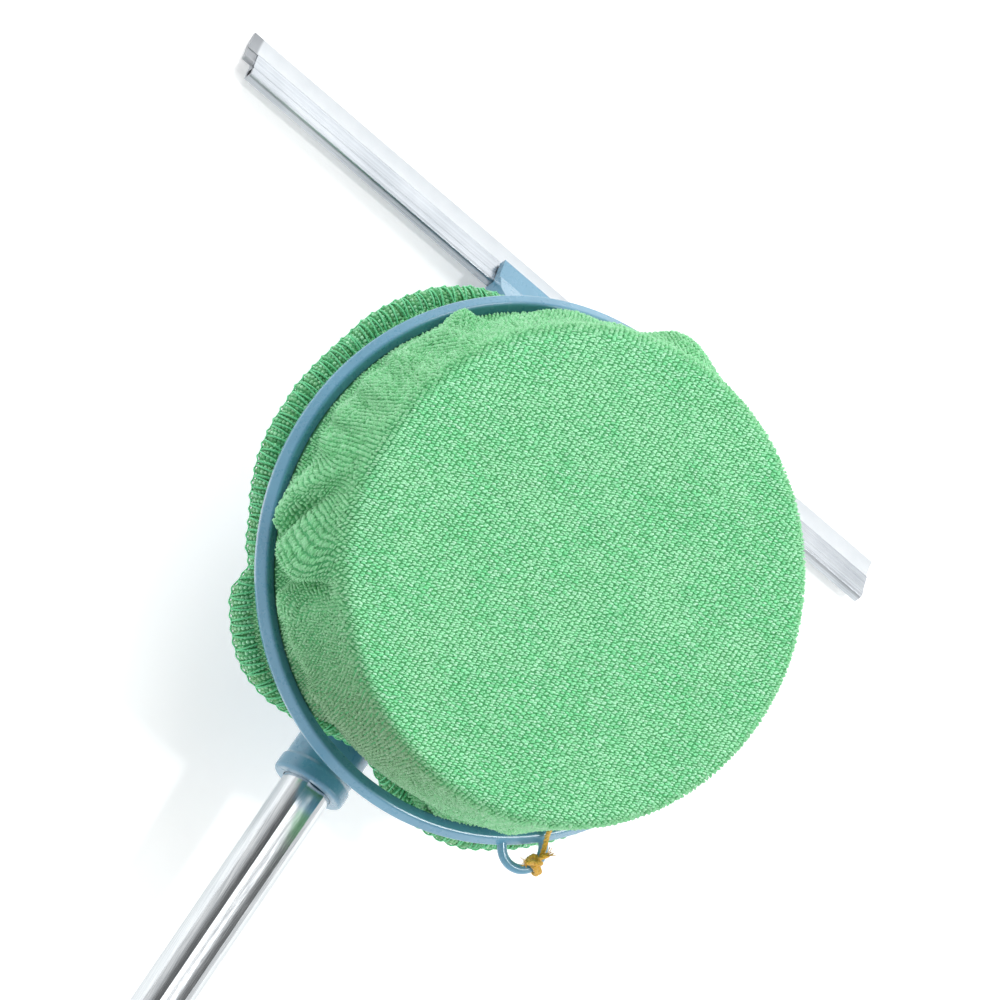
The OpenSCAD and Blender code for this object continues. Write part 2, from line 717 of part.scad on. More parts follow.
// One outline: a round bulb in the channel, a neck through its slot, and the curved lip
neck_half = slot_half - bore_gap;
bulb_turn = asin(neck_half / bulb_r);
module rubber_section() polygon([
    for (i = [0:lip_steps]) lip_point(i, -1),
    for (i = [lip_steps:-1:0]) lip_point(i, 1),
    [lip_start, channel_slot_z + neck_half],
    for (i = [0:12])
        let (a = bulb_turn + (360 - 2 * bulb_turn) * i / 12)
        [bulb_y + bulb_r * cos(a), channel_slot_z + bulb_r * sin(a)],
    [lip_start, channel_slot_z - neck_half],
]);
module squeegee_rubber() color("#e4e8ea") on_bar()
    bar_extrusion(-bar_len / 2 - rubber_over, bar_len / 2) rubber_section();

// The upper tube, with one flute on top and a plain land under the rivet
module flutes(r) {
    for (i = [0:flute_count - 1])
        rotate(90 + 360 * i / flute_count)
            translate([upper_r - flute_depth + flute_r, 0]) circle(r, $fn = 96);
}
module upper_tube() color(aluminium) difference() {
    on_pole() translate([0, 0, upper_at]) linear_extrude(upper_len) difference() {
        difference() {
            circle(upper_r, $fn = 96);
            flutes(flute_r);
        }
        difference() {
            circle(upper_r - tube_wall, $fn = 96);
            flutes(flute_r + tube_wall);
        }
    }
    on_pole() translate([0, 0, rivet_at]) rotate([90, 0, 0])
        cylinder(r = rivet_r + bore_gap, h = socket_r + cut);
}
module guide_bush() color("#e8e8e4") on_pole() translate([0, 0, upper_end - bush_stem]) {
    cylinder(r = upper_r - flute_depth - tube_wall - slide_gap, h = bush_stem + bush_flange);
    translate([0, 0, bush_stem + face_gap / 2])
        cylinder(r = lower_bore - slide_gap, h = bush_flange - face_gap / 2);
}
module lower_tube() color(aluminium) on_pole() translate([0, 0, lower_at]) difference() {
    cylinder(r = lower_r, h = lower_len, $fn = 96);
    translate([0, 0, -cut]) cylinder(r = lower_bore, h = lower_len + 2 * cut, $fn = 96);
}

// The twist lock: slotted fingers on the lower tube, squeezed by a turning nut
collet_slots = 6;
slot_w = 1.5;
slot_len = 16;
module lock_collet() color("#e8e8e4") on_pole() difference() {
    rotate_extrude($fn = 96) polygon([
        [upper_r + slide_gap, collet_at],
        [collet_tip, collet_at],
        [collet_r, collet_at + cone_len],
        [collet_r, lock_at + nut_len + soft_gap],
        [nut_r - 0.8, lock_at + nut_len + soft_gap],
        [nut_r - 0.8, lock_at + nut_len + collet_flange_t],
        [lower_r + bore_gap / 2, lock_at + nut_len + collet_flange_t],
        [lower_r + bore_gap / 2, lower_at - face_gap],
        [upper_r + slide_gap, lower_at - face_gap],
    ]);
    for (i = [0:collet_slots - 1])
        rotate([0, 0, 360 * i / collet_slots]) translate([upper_r - 2, -slot_w / 2, collet_at - cut])
            cube([6, slot_w, slot_len + cut]);
}
module lock_nut() color(plastic) on_pole() difference() {
    rotate_extrude($fn = 96) polygon([
        [upper_r + 0.4, lock_at],
        [nut_r - 2.5, lock_at],
        [nut_r, lock_at + 3.5],
        [nut_r, lock_at + nut_len - 2],
        [nut_r - 0.8, lock_at + nut_len],
        [nut_bore, lock_at + nut_len],
        [nut_bore, collet_at + cone_len - turn_gap],
        [collet_tip + turn_gap, lock_at + nut_wall],
        [upper_r + 0.4, lock_at + nut_wall],
    ]);
    for (i = [0:nut_scallops - 1])
        rotate([0, 0, 360 * i / nut_scallops]) translate([nut_r + 0.7, 0, lock_at + 6])
            cylinder(r = 1.5, h = nut_len - 12, $fn = 24);
}

// The grip: a soft sleeve with shallow grooves, on the end of the lower tube
groove_pitch = 12;
groove_r = 1.6;
module handle_grip() color("#5b6470") on_pole() translate([0, 0, lower_end - grip_len])
    rotate_extrude($fn = 96) difference() {
        polygon([
            [lower_r + bore_gap / 2, 0], [grip_r - 1.6, 0], [grip_r, 4], [grip_r, grip_len],
            [lower_r + bore_gap / 2, grip_len],
        ]);
        for (i = [1:grip_grooves])
            translate([grip_r + 0.8, groove_pitch * i + 6]) circle(groove_r, $fn = 24);
    }
module end_cap() color(plastic) on_pole() difference() {
    union() {
        translate([0, 0, cap_rim_at - cap_stem])
            cylinder(r = lower_bore - bore_gap / 2, h = cap_stem + 1);
        translate([0, 0, cap_rim_at]) cylinder(r = cap_r, h = cap_rim_t, $fn = 96);
        translate([0, 0, hang_at]) rotate([0, 90, 0])
            cylinder(r = tongue_r, h = tongue_t, center = true);
        translate([-tongue_t / 2, -tongue_r, cap_rim_at + 1])
            cube([tongue_t, 2 * tongue_r, hang_at - cap_rim_at - 1]);
    }
    translate([0, 0, hang_at]) rotate([0, 90, 0])
        cylinder(r = hang_r, h = tongue_t + 2 * cut, center = true);
}

clamp_hoop();
cloth_cover();
cover_hem();
tether_cord();
tether_knot();
foam_disc();
backing_drum();
drum_screws();
neck_frame();
socket_rivet();
squeegee_holder();
holder_screws();
clamp_plate();
clamp_screws();
squeegee_channel();
squeegee_rubber();
upper_tube();
guide_bush();
lower_tube();
lock_collet();
lock_nut();
handle_grip();
end_cap();
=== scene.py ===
import json
import math
import random

import bmesh
import bpy
import numpy as np
from mathutils import Matrix, Vector


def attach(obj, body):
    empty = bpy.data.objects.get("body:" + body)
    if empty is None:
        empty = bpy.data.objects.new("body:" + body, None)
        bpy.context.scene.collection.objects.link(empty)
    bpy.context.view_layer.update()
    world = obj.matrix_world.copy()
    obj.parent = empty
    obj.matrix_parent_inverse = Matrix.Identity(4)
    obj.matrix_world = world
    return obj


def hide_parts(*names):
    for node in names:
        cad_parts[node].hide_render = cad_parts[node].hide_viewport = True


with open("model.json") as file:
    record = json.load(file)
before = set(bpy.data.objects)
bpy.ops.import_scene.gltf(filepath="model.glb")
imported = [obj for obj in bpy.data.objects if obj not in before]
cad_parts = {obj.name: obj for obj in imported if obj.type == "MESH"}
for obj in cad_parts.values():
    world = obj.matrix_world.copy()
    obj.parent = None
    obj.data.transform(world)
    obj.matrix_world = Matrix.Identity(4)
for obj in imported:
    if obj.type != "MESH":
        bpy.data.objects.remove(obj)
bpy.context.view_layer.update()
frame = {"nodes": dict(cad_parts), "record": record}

# Camera: a long lens, nearly above the tool and a little to its left, at the photograph's angle. Its focal
# length is ten times the width of its sensor, so parallel lines stay nearly parallel in the picture.
SENSOR_W = 36.0
CAMERA_AT = (-1.31290, -1.01913, 3.64021)
CAMERA_TURN = (0.088970, -0.481442, 0.619147)
camera_data = bpy.data.cameras.new("camera")
camera_data.sensor_width = SENSOR_W
camera_data.lens = 10 * SENSOR_W
camera_data.clip_end = 20.0
camera = bpy.data.objects.new("camera", camera_data)
camera.location = CAMERA_AT
camera.rotation_euler = CAMERA_TURN
bpy.context.scene.collection.objects.link(camera)
bpy.context.scene.camera = camera

# Floor and light of the studio: white paper on a light table, so the floor glows a little, inside a white
# tent. Three large lamps give soft light, and a small one gives the hoop its thin highlight.
PAPER_HALF = 6.0
PAPER_GLOW = 0.3
TENT_GLOW = 0.9
OPENING_AT = (-0.40, 0.10, 0.91)
LAMPS_AIM = Vector((0.0, 0.30, 0.12))
LAMPS = (
    ("key_light", (-1.1, 2.2, 2.2), 1.4, 40.0),
    ("fill_light", (2.2, 0.2, 1.8), 1.6, 10.0),
    ("rim_light", (0.4, 2.8, 0.9), 1.4, 8.0),
    ("spark_light", (0.94, 0.33, 2.73), 0.2, 16.0),
)


def srgb(code):
    """A colour written as a hex code, turned to the linear values that the shaders take."""
    parts = [int(code[i:i + 2], 16) / 255 for i in (1, 3, 5)]
    return [c / 12.92 if c <= 0.04045 else ((c + 0.055) / 1.055) ** 2.4 for c in parts] + [1.0]


def feed(node, **inputs):
    """Gives a node's inputs their values, or a link where the value is a socket or another node."""
    for name, value in inputs.items():
        socket = next(s for s in node.inputs if s.enabled and s.name == name.replace("_", " "))
        if isinstance(value, bpy.types.Node):
            value = next(s for s in value.outputs if s.enabled)
        if isinstance(value, bpy.types.NodeSocket):
            node.id_data.links.new(value, socket)
        else:
            socket.default_value = value


def add(tree, kind, settings=None, **inputs):
    """Adds one node, with its settings and with values or links for its inputs."""
    node = tree.nodes.new(kind)
    for name, value in (settings or {}).items():
        setattr(node, name, value)
    feed(node, **inputs)
    return node


# Plain matt paper without a pattern, so that nothing but shadow shows on it
paper = bpy.data.materials.new("studio_paper")
paper.use_nodes = True
feed(
    paper.node_tree.nodes["Principled BSDF"], Base_Color=srgb("#ffffff"), Roughness=1.0,
    Emission_Color=srgb("#ffffff"), Emission_Strength=PAPER_GLOW,
)
bm = bmesh.new()
bmesh.ops.create_grid(bm, x_segments=2, y_segments=2, size=PAPER_HALF)
mesh = bpy.data.meshes.new("studio_floor")
bm.to_mesh(mesh)
bm.free()
mesh.materials.append(paper)
floor = bpy.data.objects.new("studio_floor", mesh)
bpy.context.scene.collection.objects.link(floor)

# The tent has a darker opening above the tool, near the camera, which bright metal shows as a dark stripe
world = bpy.data.worlds.new("studio")
world.use_nodes = True
direction = add(world.node_tree, "ShaderNodeTexCoord").outputs["Generated"]
opening = add(world.node_tree, "ShaderNodeVectorMath", {"operation": "DOT_PRODUCT"}, Vector=direction)
opening.inputs[1].default_value = OPENING_AT
tent = add(
    world.node_tree, "ShaderNodeMapRange", {"interpolation_type": "SMOOTHSTEP"},
    Value=opening, From_Min=0.68, From_Max=0.97, To_Min=1.0, To_Max=0.18,
)
feed(world.node_tree.nodes["Background"], Color=tent, Strength=TENT_GLOW)
bpy.context.scene.world = world
bpy.context.scene.view_settings.view_transform = "Standard"
for name, place, size, power in LAMPS:
    lamp = bpy.data.lights.new(name, "AREA")
    lamp.size = size
    lamp.energy = power
    lamp_object = bpy.data.objects.new(name, lamp)
    lamp_object.location = place
    lamp_object.rotation_euler = (LAMPS_AIM - Vector(place)).to_track_quat("-Z", "Y").to_euler()
    bpy.context.scene.collection.objects.link(lamp_object)

# Tether cord: a 2.2 mm laid polyester cord of three golden strands. It comes out from under the cover's
# loops, runs down the pad's side, lies over the clamp hoop and is knotted round the hoop's eye.
CORD_ROUTE = (
    (0.0714, -0.0708, 0.0300), (0.0726, -0.0720, 0.0260), (0.0730, -0.0722, 0.0200),
    (0.0732, -0.0725, 0.0140), (0.0739, -0.0731, 0.0100), (0.0754, -0.0749, 0.0070),
    (0.0770, -0.0774, 0.0058), (0.0786, -0.0806, 0.0052), (0.0798, -0.0840, 0.0048),
)
STRANDS = 3
STRAND_R = 0.00060
STRAND_OUT = 0.00052
STRAND_LAY = 0.006

# The route is in the ring frame, as all of the head's lengths are: its origin is the middle of the clamp
# hoop, and its Z is the pad's axis. It follows from the pad face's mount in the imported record.
FACE_Z = 0.0668
face_mount = next(m for m in frame["record"]["mounts"] if m["name"] == "pad_face")
HEAD_TILT = math.atan2(-face_mount["axis"][1], face_mount["axis"][2])
HEAD = Matrix.Translation(Vector(face_mount["pos_m"])) @ Matrix.Rotation(HEAD_TILT, 4, "X")
HEAD = HEAD @ Matrix.Translation((0, 0, -FACE_Z))


def in_part(points, own_frame=HEAD):
    """Points of the ring frame, or of another frame, in the part's frame."""
    turn = np.array(own_frame)
    return np.asarray(points) @ turn[:3, :3].T + turn[:3, 3]


def between(before, start, end, after, t):
    """A point of the smooth curve that goes from start to end while t goes from 0 to 1."""
    slope = end - before
    bend = 2 * before - 5 * start + 4 * end - after
    twist = 3 * (start - end) + after - before
    return start + t * (slope + t * (bend + t * twist)) / 2


def smooth_line(points, steps):
    """Points along a smooth curve through the given ones."""
    given = np.array(points, float)
    last = len(given) - 1
    found = []
    for i in range(last):
        near = [given[min(max(i + k, 0), last)] for k in (-1, 0, 1, 2)]
        found += [between(*near, t) for t in np.arange(steps) / steps]
    return np.array(found + [given[-1]])


def laid_strands(line, lay):
    """The strands of a laid cord: helices round a line, which go round once in the length of a lay."""
    tangent = np.gradient(line, axis=0)
    tangent /= np.linalg.norm(tangent, axis=1)[:, None]
    gone = np.concatenate([[0], np.cumsum(np.linalg.norm(np.diff(line, axis=0), axis=1))])
    side = np.cross(tangent[0], (0.0, 0.0, 1.0) if abs(tangent[0][2]) < 0.9 else (1.0, 0.0, 0.0))
    sides = []
    for t in tangent:
        side = side - t * side.dot(t)
        side /= np.linalg.norm(side)
        sides.append(side)
    sides = np.array(sides)
    up = np.cross(tangent, sides)
    strands = []
    for k in range(STRANDS):
        turn = math.tau * (gone / lay + k / STRANDS)
        strands.append(line + STRAND_OUT * (sides * np.cos(turn)[:, None] + up * np.sin(turn)[:, None]))
    return strands


def finished(name, mesh, material):
    """Makes a mesh one smooth object at the origin, which rides on the head."""
    mesh.shade_smooth()
    mesh.materials.append(material)
    made = bpy.data.objects.new(name, mesh)
    bpy.context.scene.collection.objects.link(made)
    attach(made, "head")
    return made


def threads(name, lines, radius, material, resolution=1, cyclic=False):
    """One mesh of round threads along lines of points in the part's frame."""
    curve = bpy.data.curves.new(name, "CURVE")
    curve.dimensions = "3D"
    curve.bevel_depth = radius
    curve.bevel_resolution = resolution
    curve.use_fill_caps = not cyclic
    for line in lines:
        spline = curve.splines.new("POLY")
        spline.points.add(len(line) - 1)
        spline.points.foreach_set("co", np.hstack([line, np.ones((len(line), 1))]).ravel())
        spline.use_cyclic_u = cyclic
    guide = bpy.data.objects.new(name + "_line", curve)
    bpy.context.scene.collection.objects.link(guide)
    mesh = bpy.data.meshes.new_from_object(guide.evaluated_get(bpy.context.evaluated_depsgraph_get()))
    bpy.data.objects.remove(guide)
    bpy.data.curves.remove(curve)
    mesh.name = name
    return finished(name, mesh, material)


def new_material(name):
    """A node material with its node tree, its shader and its object coordinates."""
    made = bpy.data.materials.new(name)
    made.use_nodes = True
    coords = add(made.node_tree, "ShaderNodeTexCoord").outputs["Object"]
    return made, made.node_tree, made.node_tree.nodes["Principled BSDF"], coords


# Spun polyester: matt threads with a fuzz, worn paler in patches of 4 mm. The fibres are drawn 0.4 mm
# apart, coarser than real ones, so that they show.
golden, tree, shader, coords = new_material("golden_laid_polyester_cord")
fuzz = add(tree, "ShaderNodeTexNoise", Vector=coords, Scale=2600.0, Detail=3.0, Roughness=0.55)
wear = add(tree, "ShaderNodeTexNoise", Vector=coords, Scale=260.0, Detail=3.0, Roughness=0.55)
lit = add(tree, "ShaderNodeMapRange", Value=fuzz, From_Min=0.35, From_Max=0.65)
worn = add(tree, "ShaderNodeMapRange", Value=wear, From_Min=0.5, From_Max=0.75, To_Max=0.6)
tone = add(tree, "ShaderNodeMix", {"data_type": "RGBA"}, Factor=lit, A=srgb("#b07d10"), B=srgb("#f2c03a"))
tone = add(tree, "ShaderNodeMix", {"data_type": "RGBA"}, Factor=worn, A=tone, B=srgb("#f3cf7a"))
relief = add(tree, "ShaderNodeBump", Distance=0.0003, Height=fuzz)
feed(shader, Base_Color=tone, Roughness=0.8, Sheen_Weight=0.3, Normal=relief)

cord_line = in_part(smooth_line(CORD_ROUTE, 8))
cord = threads("tether_cord_laid", laid_strands(cord_line, STRAND_LAY), STRAND_R, golden, 2)
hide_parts("tether_cord")

# The knot: the cord goes round the eye's rod one and a half times and is closed with an overhand knot.
# Its two short ends have frayed into fibres.
EYE_AT = math.radians(311)
EYE_R = 0.111
EYE_BOW = 0.009
EYE_Z = -0.001
KNOT_TURN = math.radians(28)
KNOT_SWING = math.radians(24)
KNOT_OUT = 0.0051
KNOT_LAY = 0.0045
WRAP_R = 0.0034
WRAP_TURNS = 1.6
WRAP_RISE = 0.0014
OVERHAND_SIZE = 0.00088
TAIL_BEND = (0.0030, 0.0002, 0.0022)
TAIL_END = (0.0045, 0.0012, 0.0050)
FRAY_FIBRES = 16
FRAY_SPREAD = 0.0007
FRAY_R = 0.00014
KNOT = (
    HEAD @ Matrix.Rotation(EYE_AT, 4, "Z")
    @ Matrix.Translation((EYE_R + EYE_BOW * math.cos(KNOT_TURN), EYE_BOW * math.sin(KNOT_TURN), EYE_Z))
    @ Matrix.Rotation(KNOT_TURN, 4, "Z") @ Matrix.Rotation(-math.pi / 2, 4, "X")
    @ Matrix.Rotation(-math.pi / 2 - KNOT_SWING, 4, "Z")
)
t = np.linspace(0, math.tau * WRAP_TURNS, 60)
wrap = np.stack([
    WRAP_R * np.cos(t), WRAP_R * np.sin(t), WRAP_RISE * (t / math.tau - WRAP_TURNS / 2)
], axis=1)
t = np.linspace(0, math.tau, 73)[:-1]
overhand = OVERHAND_SIZE * np.stack([
    np.sin(t) + 2 * np.sin(2 * t), np.cos(t) - 2 * np.cos(2 * t), -1.4 * np.sin(3 * t)
], axis=1) + (KNOT_OUT, 0, 0)
random_knot = random.Random(11)
lines = laid_strands(in_part(wrap, KNOT), STRAND_LAY)
lines += [np.vstack([strand, strand[:1]]) for strand in laid_strands(in_part(overhand, KNOT), KNOT_LAY)]
frayed = []
for side in (-1, 1):
    end = np.array((KNOT_OUT + TAIL_END[0], side * TAIL_END[1], side * TAIL_END[2]))
    bend = np.array((KNOT_OUT + TAIL_BEND[0], side * TAIL_BEND[1], side * TAIL_BEND[2]))
    tail = smooth_line([(KNOT_OUT, 0, 0), bend, end], 8)
    lines += laid_strands(in_part(tail, KNOT), STRAND_LAY)
    for _ in range(FRAY_FIBRES):
        stray = np.array([random_knot.gauss(0, FRAY_SPREAD) for _ in range(3)])
        reach = end - bend
        reach *= random_knot.uniform(0.3, 0.6)
        fibre = [end - reach * 0.6 + stray * 0.3, end + stray * 0.7, end + reach * 0.7 + stray * 1.5]
        frayed.append(in_part(smooth_line(fibre, 4), KNOT))
knot = threads("tether_knot_tied", lines, STRAND_R, golden, 2)
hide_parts("tether_knot")
fray = threads("tether_frayed_ends", frayed, FRAY_R, golden)

# Moulded parts: injection-moulded polypropylene, coloured light steel blue. The mould gives it a satin skin
# with a grain of 0.7 mm, soft edges and flow marks of 45 mm. Scuffs of 6 mm make it duller in places.


def finish_nodes(material, *names):
    """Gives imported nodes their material."""
    for name in names:
        mesh = frame["nodes"][name].data
        mesh.materials.clear()
        mesh.materials.append(material)


blue, tree, shader, coords = new_material("steel_blue_polypropylene")
flow = add(tree, "ShaderNodeTexNoise", Vector=coords, Scale=22.0, Detail=2.0, Roughness=0.55)
skin = add(tree, "ShaderNodeTexNoise", Vector=coords, Scale=1400.0, Detail=2.0, Roughness=0.55)
scuffs = add(tree, "ShaderNodeTexNoise", Vector=coords, Scale=170.0, Detail=4.0, Roughness=0.7)
flowed = add(tree, "ShaderNodeMapRange", Value=flow, From_Min=0.3, From_Max=0.7)
scuffed = add(tree, "ShaderNodeMapRange", Value=scuffs, From_Min=0.62, From_Max=0.75, To_Max=0.15)
dull = add(tree, "ShaderNodeMapRange", Value=scuffs, From_Min=0.3, From_Max=0.7, To_Min=0.22, To_Max=0.36)
tone = add(tree, "ShaderNodeMix", {"data_type": "RGBA"}, Factor=flowed, A=srgb("#4e86a3"), B=srgb("#5f98b4"))
tone = add(tree, "ShaderNodeMix", {"data_type": "RGBA"}, Factor=scuffed, A=tone, B=srgb("#7cacc4"))
soft_edge = add(tree, "ShaderNodeBevel", {"samples": 4}, Radius=0.0006)
relief = add(tree, "ShaderNodeBump", Distance=0.00003, Height=skin, Normal=soft_edge)
feed(
    shader, Base_Color=tone, Roughness=dull, IOR=1.49, Subsurface_Weight=0.12,
    Subsurface_Radius=(0.002, 0.0025, 0.003), Coat_Weight=0.6, Coat_Roughness=0.12, Normal=relief,
)
finish_nodes(
    blue, "clamp_hoop", "backing_drum", "neck_frame", "squeegee_holder", "clamp_plate", "lock_nut", "end_cap"
)

# Pole tubes and squeegee channel: aluminium with die lines along its length. The tubes are drawn and
# polished, and lightly rubbed by the lock. The channel is a duller, satin extrusion.


def drawn_aluminium(name, along, smooth, rough, dark="#bfc4c8", light="#e2e5e7"):
    """Bright aluminium with die lines 0.4 mm apart along one axis, and a faint cloud of 30 mm patches."""
    made, tree, shader, coords = new_material(name)
    stretch = [2600.0, 2600.0, 2600.0]
    stretch["XYZ".index(along)] = 9.0
    lined = add(tree, "ShaderNodeMapping", Vector=coords, Scale=stretch)
    lines = add(tree, "ShaderNodeTexNoise", Vector=lined, Scale=1.0, Detail=3.0, Roughness=0.55)
    cloud = add(tree, "ShaderNodeTexNoise", Vector=coords, Scale=35.0, Detail=3.0, Roughness=0.55)
    lit = add(tree, "ShaderNodeMapRange", Value=lines, From_Min=0.3, From_Max=0.7)
    clouded = add(tree, "ShaderNodeMapRange", Value=cloud, From_Min=0.4, From_Max=0.7, To_Max=0.4)
    rubbed = add(
        tree, "ShaderNodeMapRange", Value=lines, From_Min=0.25, From_Max=0.75, To_Min=smooth, To_Max=rough
    )
    tone = add(tree, "ShaderNodeMix", {"data_type": "RGBA"}, Factor=lit, A=srgb(dark), B=srgb(light))
    tone = add(tree, "ShaderNodeMix", {"data_type": "RGBA"}, Factor=clouded, A=tone, B=srgb("#d3d7db"))
    soft_edge = add(tree, "ShaderNodeBevel", {"samples": 4}, Radius=0.0002)
    relief = add(tree, "ShaderNodeBump", Strength=0.6, Distance=0.00004, Height=lines, Normal=soft_edge)
    feed(shader, Base_Color=tone, Metallic=1.0, Roughness=rubbed, Normal=relief)
    return made


polished = drawn_aluminium("polished_drawn_aluminium", "Y", 0.10, 0.20)
finish_nodes(polished, "upper_tube", "lower_tube")
satin = drawn_aluminium("satin_extruded_aluminium", "X", 0.24, 0.36, "#989da3", "#bac0c5")
finish_nodes(satin, "squeegee_channel")

# Collet and guide bush: white acetal, turned smooth, a little waxy. The bush guides the upper tube, and
# the lock's nut squeezes the collet on it. Turning leaves marks of 1 mm and a faint cloud of 11 mm.
acetal, tree, shader, coords = new_material("white_acetal")
cloud = add(tree, "ShaderNodeTexNoise", Vector=coords, Scale=90.0, Detail=3.0, Roughness=0.55)
marks = add(tree, "ShaderNodeTexNoise", Vector=coords, Scale=900.0, Detail=3.0, Roughness=0.55)
waxy = add(tree, "ShaderNodeMapRange", Value=cloud, From_Min=0.3, From_Max=0.7, To_Min=0.35, To_Max=0.5)
tone = add(tree, "ShaderNodeMix", {"data_type": "RGBA"}, Factor=cloud, A=srgb("#e2e2dc"), B=srgb("#efefea"))
soft_edge = add(tree, "ShaderNodeBevel", {"samples": 4}, Radius=0.0003)
relief = add(tree, "ShaderNodeBump", Distance=0.00003, Height=marks, Normal=soft_edge)
feed(
    shader, Base_Color=tone, Roughness=waxy, Subsurface_Weight=0.15,
    Subsurface_Radius=(0.002, 0.002, 0.002), Normal=relief,
)
finish_nodes(acetal, "lock_collet", "guide_bush")

# Screws and rivet: headed steel wire, zinc plated. The plating gives it a grey mottle of 1.2 mm.
# They hold the drum to the neck, the neck to the pole, and the squeegee to its holder and the neck.
plated, tree, shader, coords = new_material("zinc_plated_steel")
mottle = add(tree, "ShaderNodeTexNoise", Vector=coords, Scale=800.0, Detail=4.0, Roughness=0.55)
dull = add(tree, "ShaderNodeMapRange", Value=mottle, From_Min=0.3, From_Max=0.7, To_Min=0.25, To_Max=0.45)
tone = add(tree, "ShaderNodeMix", {"data_type": "RGBA"}, Factor=mottle, A=srgb("#8f9499"), B=srgb("#c7cbce"))
soft_edge = add(tree, "ShaderNodeBevel", {"samples": 4}, Radius=0.0002)
relief = add(tree, "ShaderNodeBump", Distance=0.00004, Height=mottle, Normal=soft_edge)
feed(shader, Base_Color=tone, Metallic=1.0, Roughness=dull, Normal=relief)
finish_nodes(plated, "drum_screws", "socket_rivet", "holder_screws", "clamp_screws")

# Grip: a moulded sleeve of soft thermoplastic rubber, dark slate, pushed over the lower tube. Its matt skin
# has pebbles of 1 mm and is greyer where hands have polished it, in patches of 25 mm.
grip, tree, shader, coords = new_material("pebbled_soft_grip_rubber")
pebbles = add(tree, "ShaderNodeTexVoronoi", Vector=coords, Scale=950.0)
cloud = add(tree, "ShaderNodeTexNoise", Vector=coords, Scale=40.0, Detail=3.0, Roughness=0.55)
gaps = add(tree, "ShaderNodeMapRange", Value=pebbles, From_Min=0.0, From_Max=0.6)
handled = add(tree, "ShaderNodeMapRange", Value=cloud, From_Min=0.5, From_Max=0.75, To_Max=0.4)
domes = add(tree, "ShaderNodeMapRange", Value=pebbles, From_Min=0.0, From_Max=0.7, To_Min=1.0, To_Max=0.0)
tone = add(tree, "ShaderNodeMix", {"data_type": "RGBA"}, Factor=gaps, A=srgb("#5e6873"), B=srgb("#454d57"))
tone = add(tree, "ShaderNodeMix", {"data_type": "RGBA"}, Factor=handled, A=tone, B=srgb("#77818b"))
soft_edge = add(tree, "ShaderNodeBevel", {"samples": 4}, Radius=0.0004)
relief = add(tree, "ShaderNodeBump", Distance=0.00018, Height=domes, Normal=soft_edge)
feed(shader, Base_Color=tone, Roughness=0.78, Normal=relief)
finish_nodes(grip, "handle_grip")

# Squeegee blade: whitish translucent rubber, extruded, cut to length and slid into the channel. Its left
# end stands out of the channel and is painted grey there, as painted shade. Its skin has a haze of 8 mm and
# a grain of 1.4 mm.
# Painted shade: the blade turns grey between these two places along it, towards its left end
END_SHADE_FROM = -0.1722
END_SHADE_TO = -0.1732
blade, tree, shader, coords = new_material("translucent_white_rubber")
along_blade = add(tree, "ShaderNodeSeparateXYZ", Vector=coords).outputs["X"]
haze = add(tree, "ShaderNodeTexNoise", Vector=coords, Scale=130.0, Detail=3.0, Roughness=0.55)
grain = add(tree, "ShaderNodeTexNoise", Vector=coords, Scale=700.0, Detail=3.0, Roughness=0.55)
painted_end_shade = add(tree, "ShaderNodeMapRange", Value=along_blade, From_Min=END_SHADE_FROM, From_Max=END_SHADE_TO)
dull = add(tree, "ShaderNodeMapRange", Value=haze, From_Min=0.3, From_Max=0.7, To_Min=0.3, To_Max=0.45)
tone = add(tree, "ShaderNodeMix", {"data_type": "RGBA"}, Factor=haze, A=srgb("#dde2e7"), B=srgb("#eef1f4"))
# Painted shade: grey on the blade's left end
tone = add(tree, "ShaderNodeMix", {"data_type": "RGBA"}, Factor=painted_end_shade, A=tone, B=srgb("#a9adb2"))
soft_edge = add(tree, "ShaderNodeBevel", {"samples": 4}, Radius=0.0002)
relief = add(tree, "ShaderNodeBump", Distance=0.00004, Height=grain, Normal=soft_edge)
feed(
    shader, Base_Color=tone, Roughness=dull, IOR=1.45, Transmission_Weight=0.22,
    Subsurface_Weight=0.35, Subsurface_Radius=(0.004, 0.004, 0.004), Normal=relief,
)
finish_nodes(blade, "squeegee_rubber")

# The pad's cover: a cup of terry microfibre, cut as one round disc. It is stretched flat over the foam,
# gathered down the pad's side, trapped under the clamp hoop and drawn in where the neck passes.
# Lengths are metres in the ring frame, whose origin is the middle of the hoop; angles are degrees.
MM = 0.001
COVER_SEAT = 0.1023
PAD_R = 0.099
CLOTH_T = 0.0012
HOOP_HALF = 0.004
EDGE_R = 0.0052
WALL_END = 0.0042
FACE_FLAT = PAD_R - EDGE_R
EDGE_LEN = EDGE_R * math.pi / 2
WALL_LEN = FACE_Z - EDGE_R - WALL_END
TUCK_LEN = WALL_END + HOOP_HALF
TAIL_LEN = 0.0125
CLOTH_CUT_R = FACE_FLAT + EDGE_LEN + WALL_LEN + TUCK_LEN + TAIL_LEN
HEM_R = 0.005
# The hem's middle line every 15 degrees round the pad: millimetres beyond the seat, and behind the hoop
HEM_LINE = (
    (4, 19), (5, 20), (4, 19), (3, 19), (3, 18), (2, 18), (1, 18), (2, 19),
    (-1, 19), (6, 20), (7.5, 20), (4.7, 20), (4, 20), (2.5, 20), (-1.5, 20), (5.5, 20),
    (5.2, 20), (-6.5, 20), (-16, 19), (-4, 20), (4, 21), (5, 20), (5, 20), (4, 19),
)
# Where two gathers of the hem meet: place in degrees, depth in mm and half width in degrees
PINCH_AT, PINCH_DEPTH, PINCH_HALF = 217.0, 4.4, 3.5
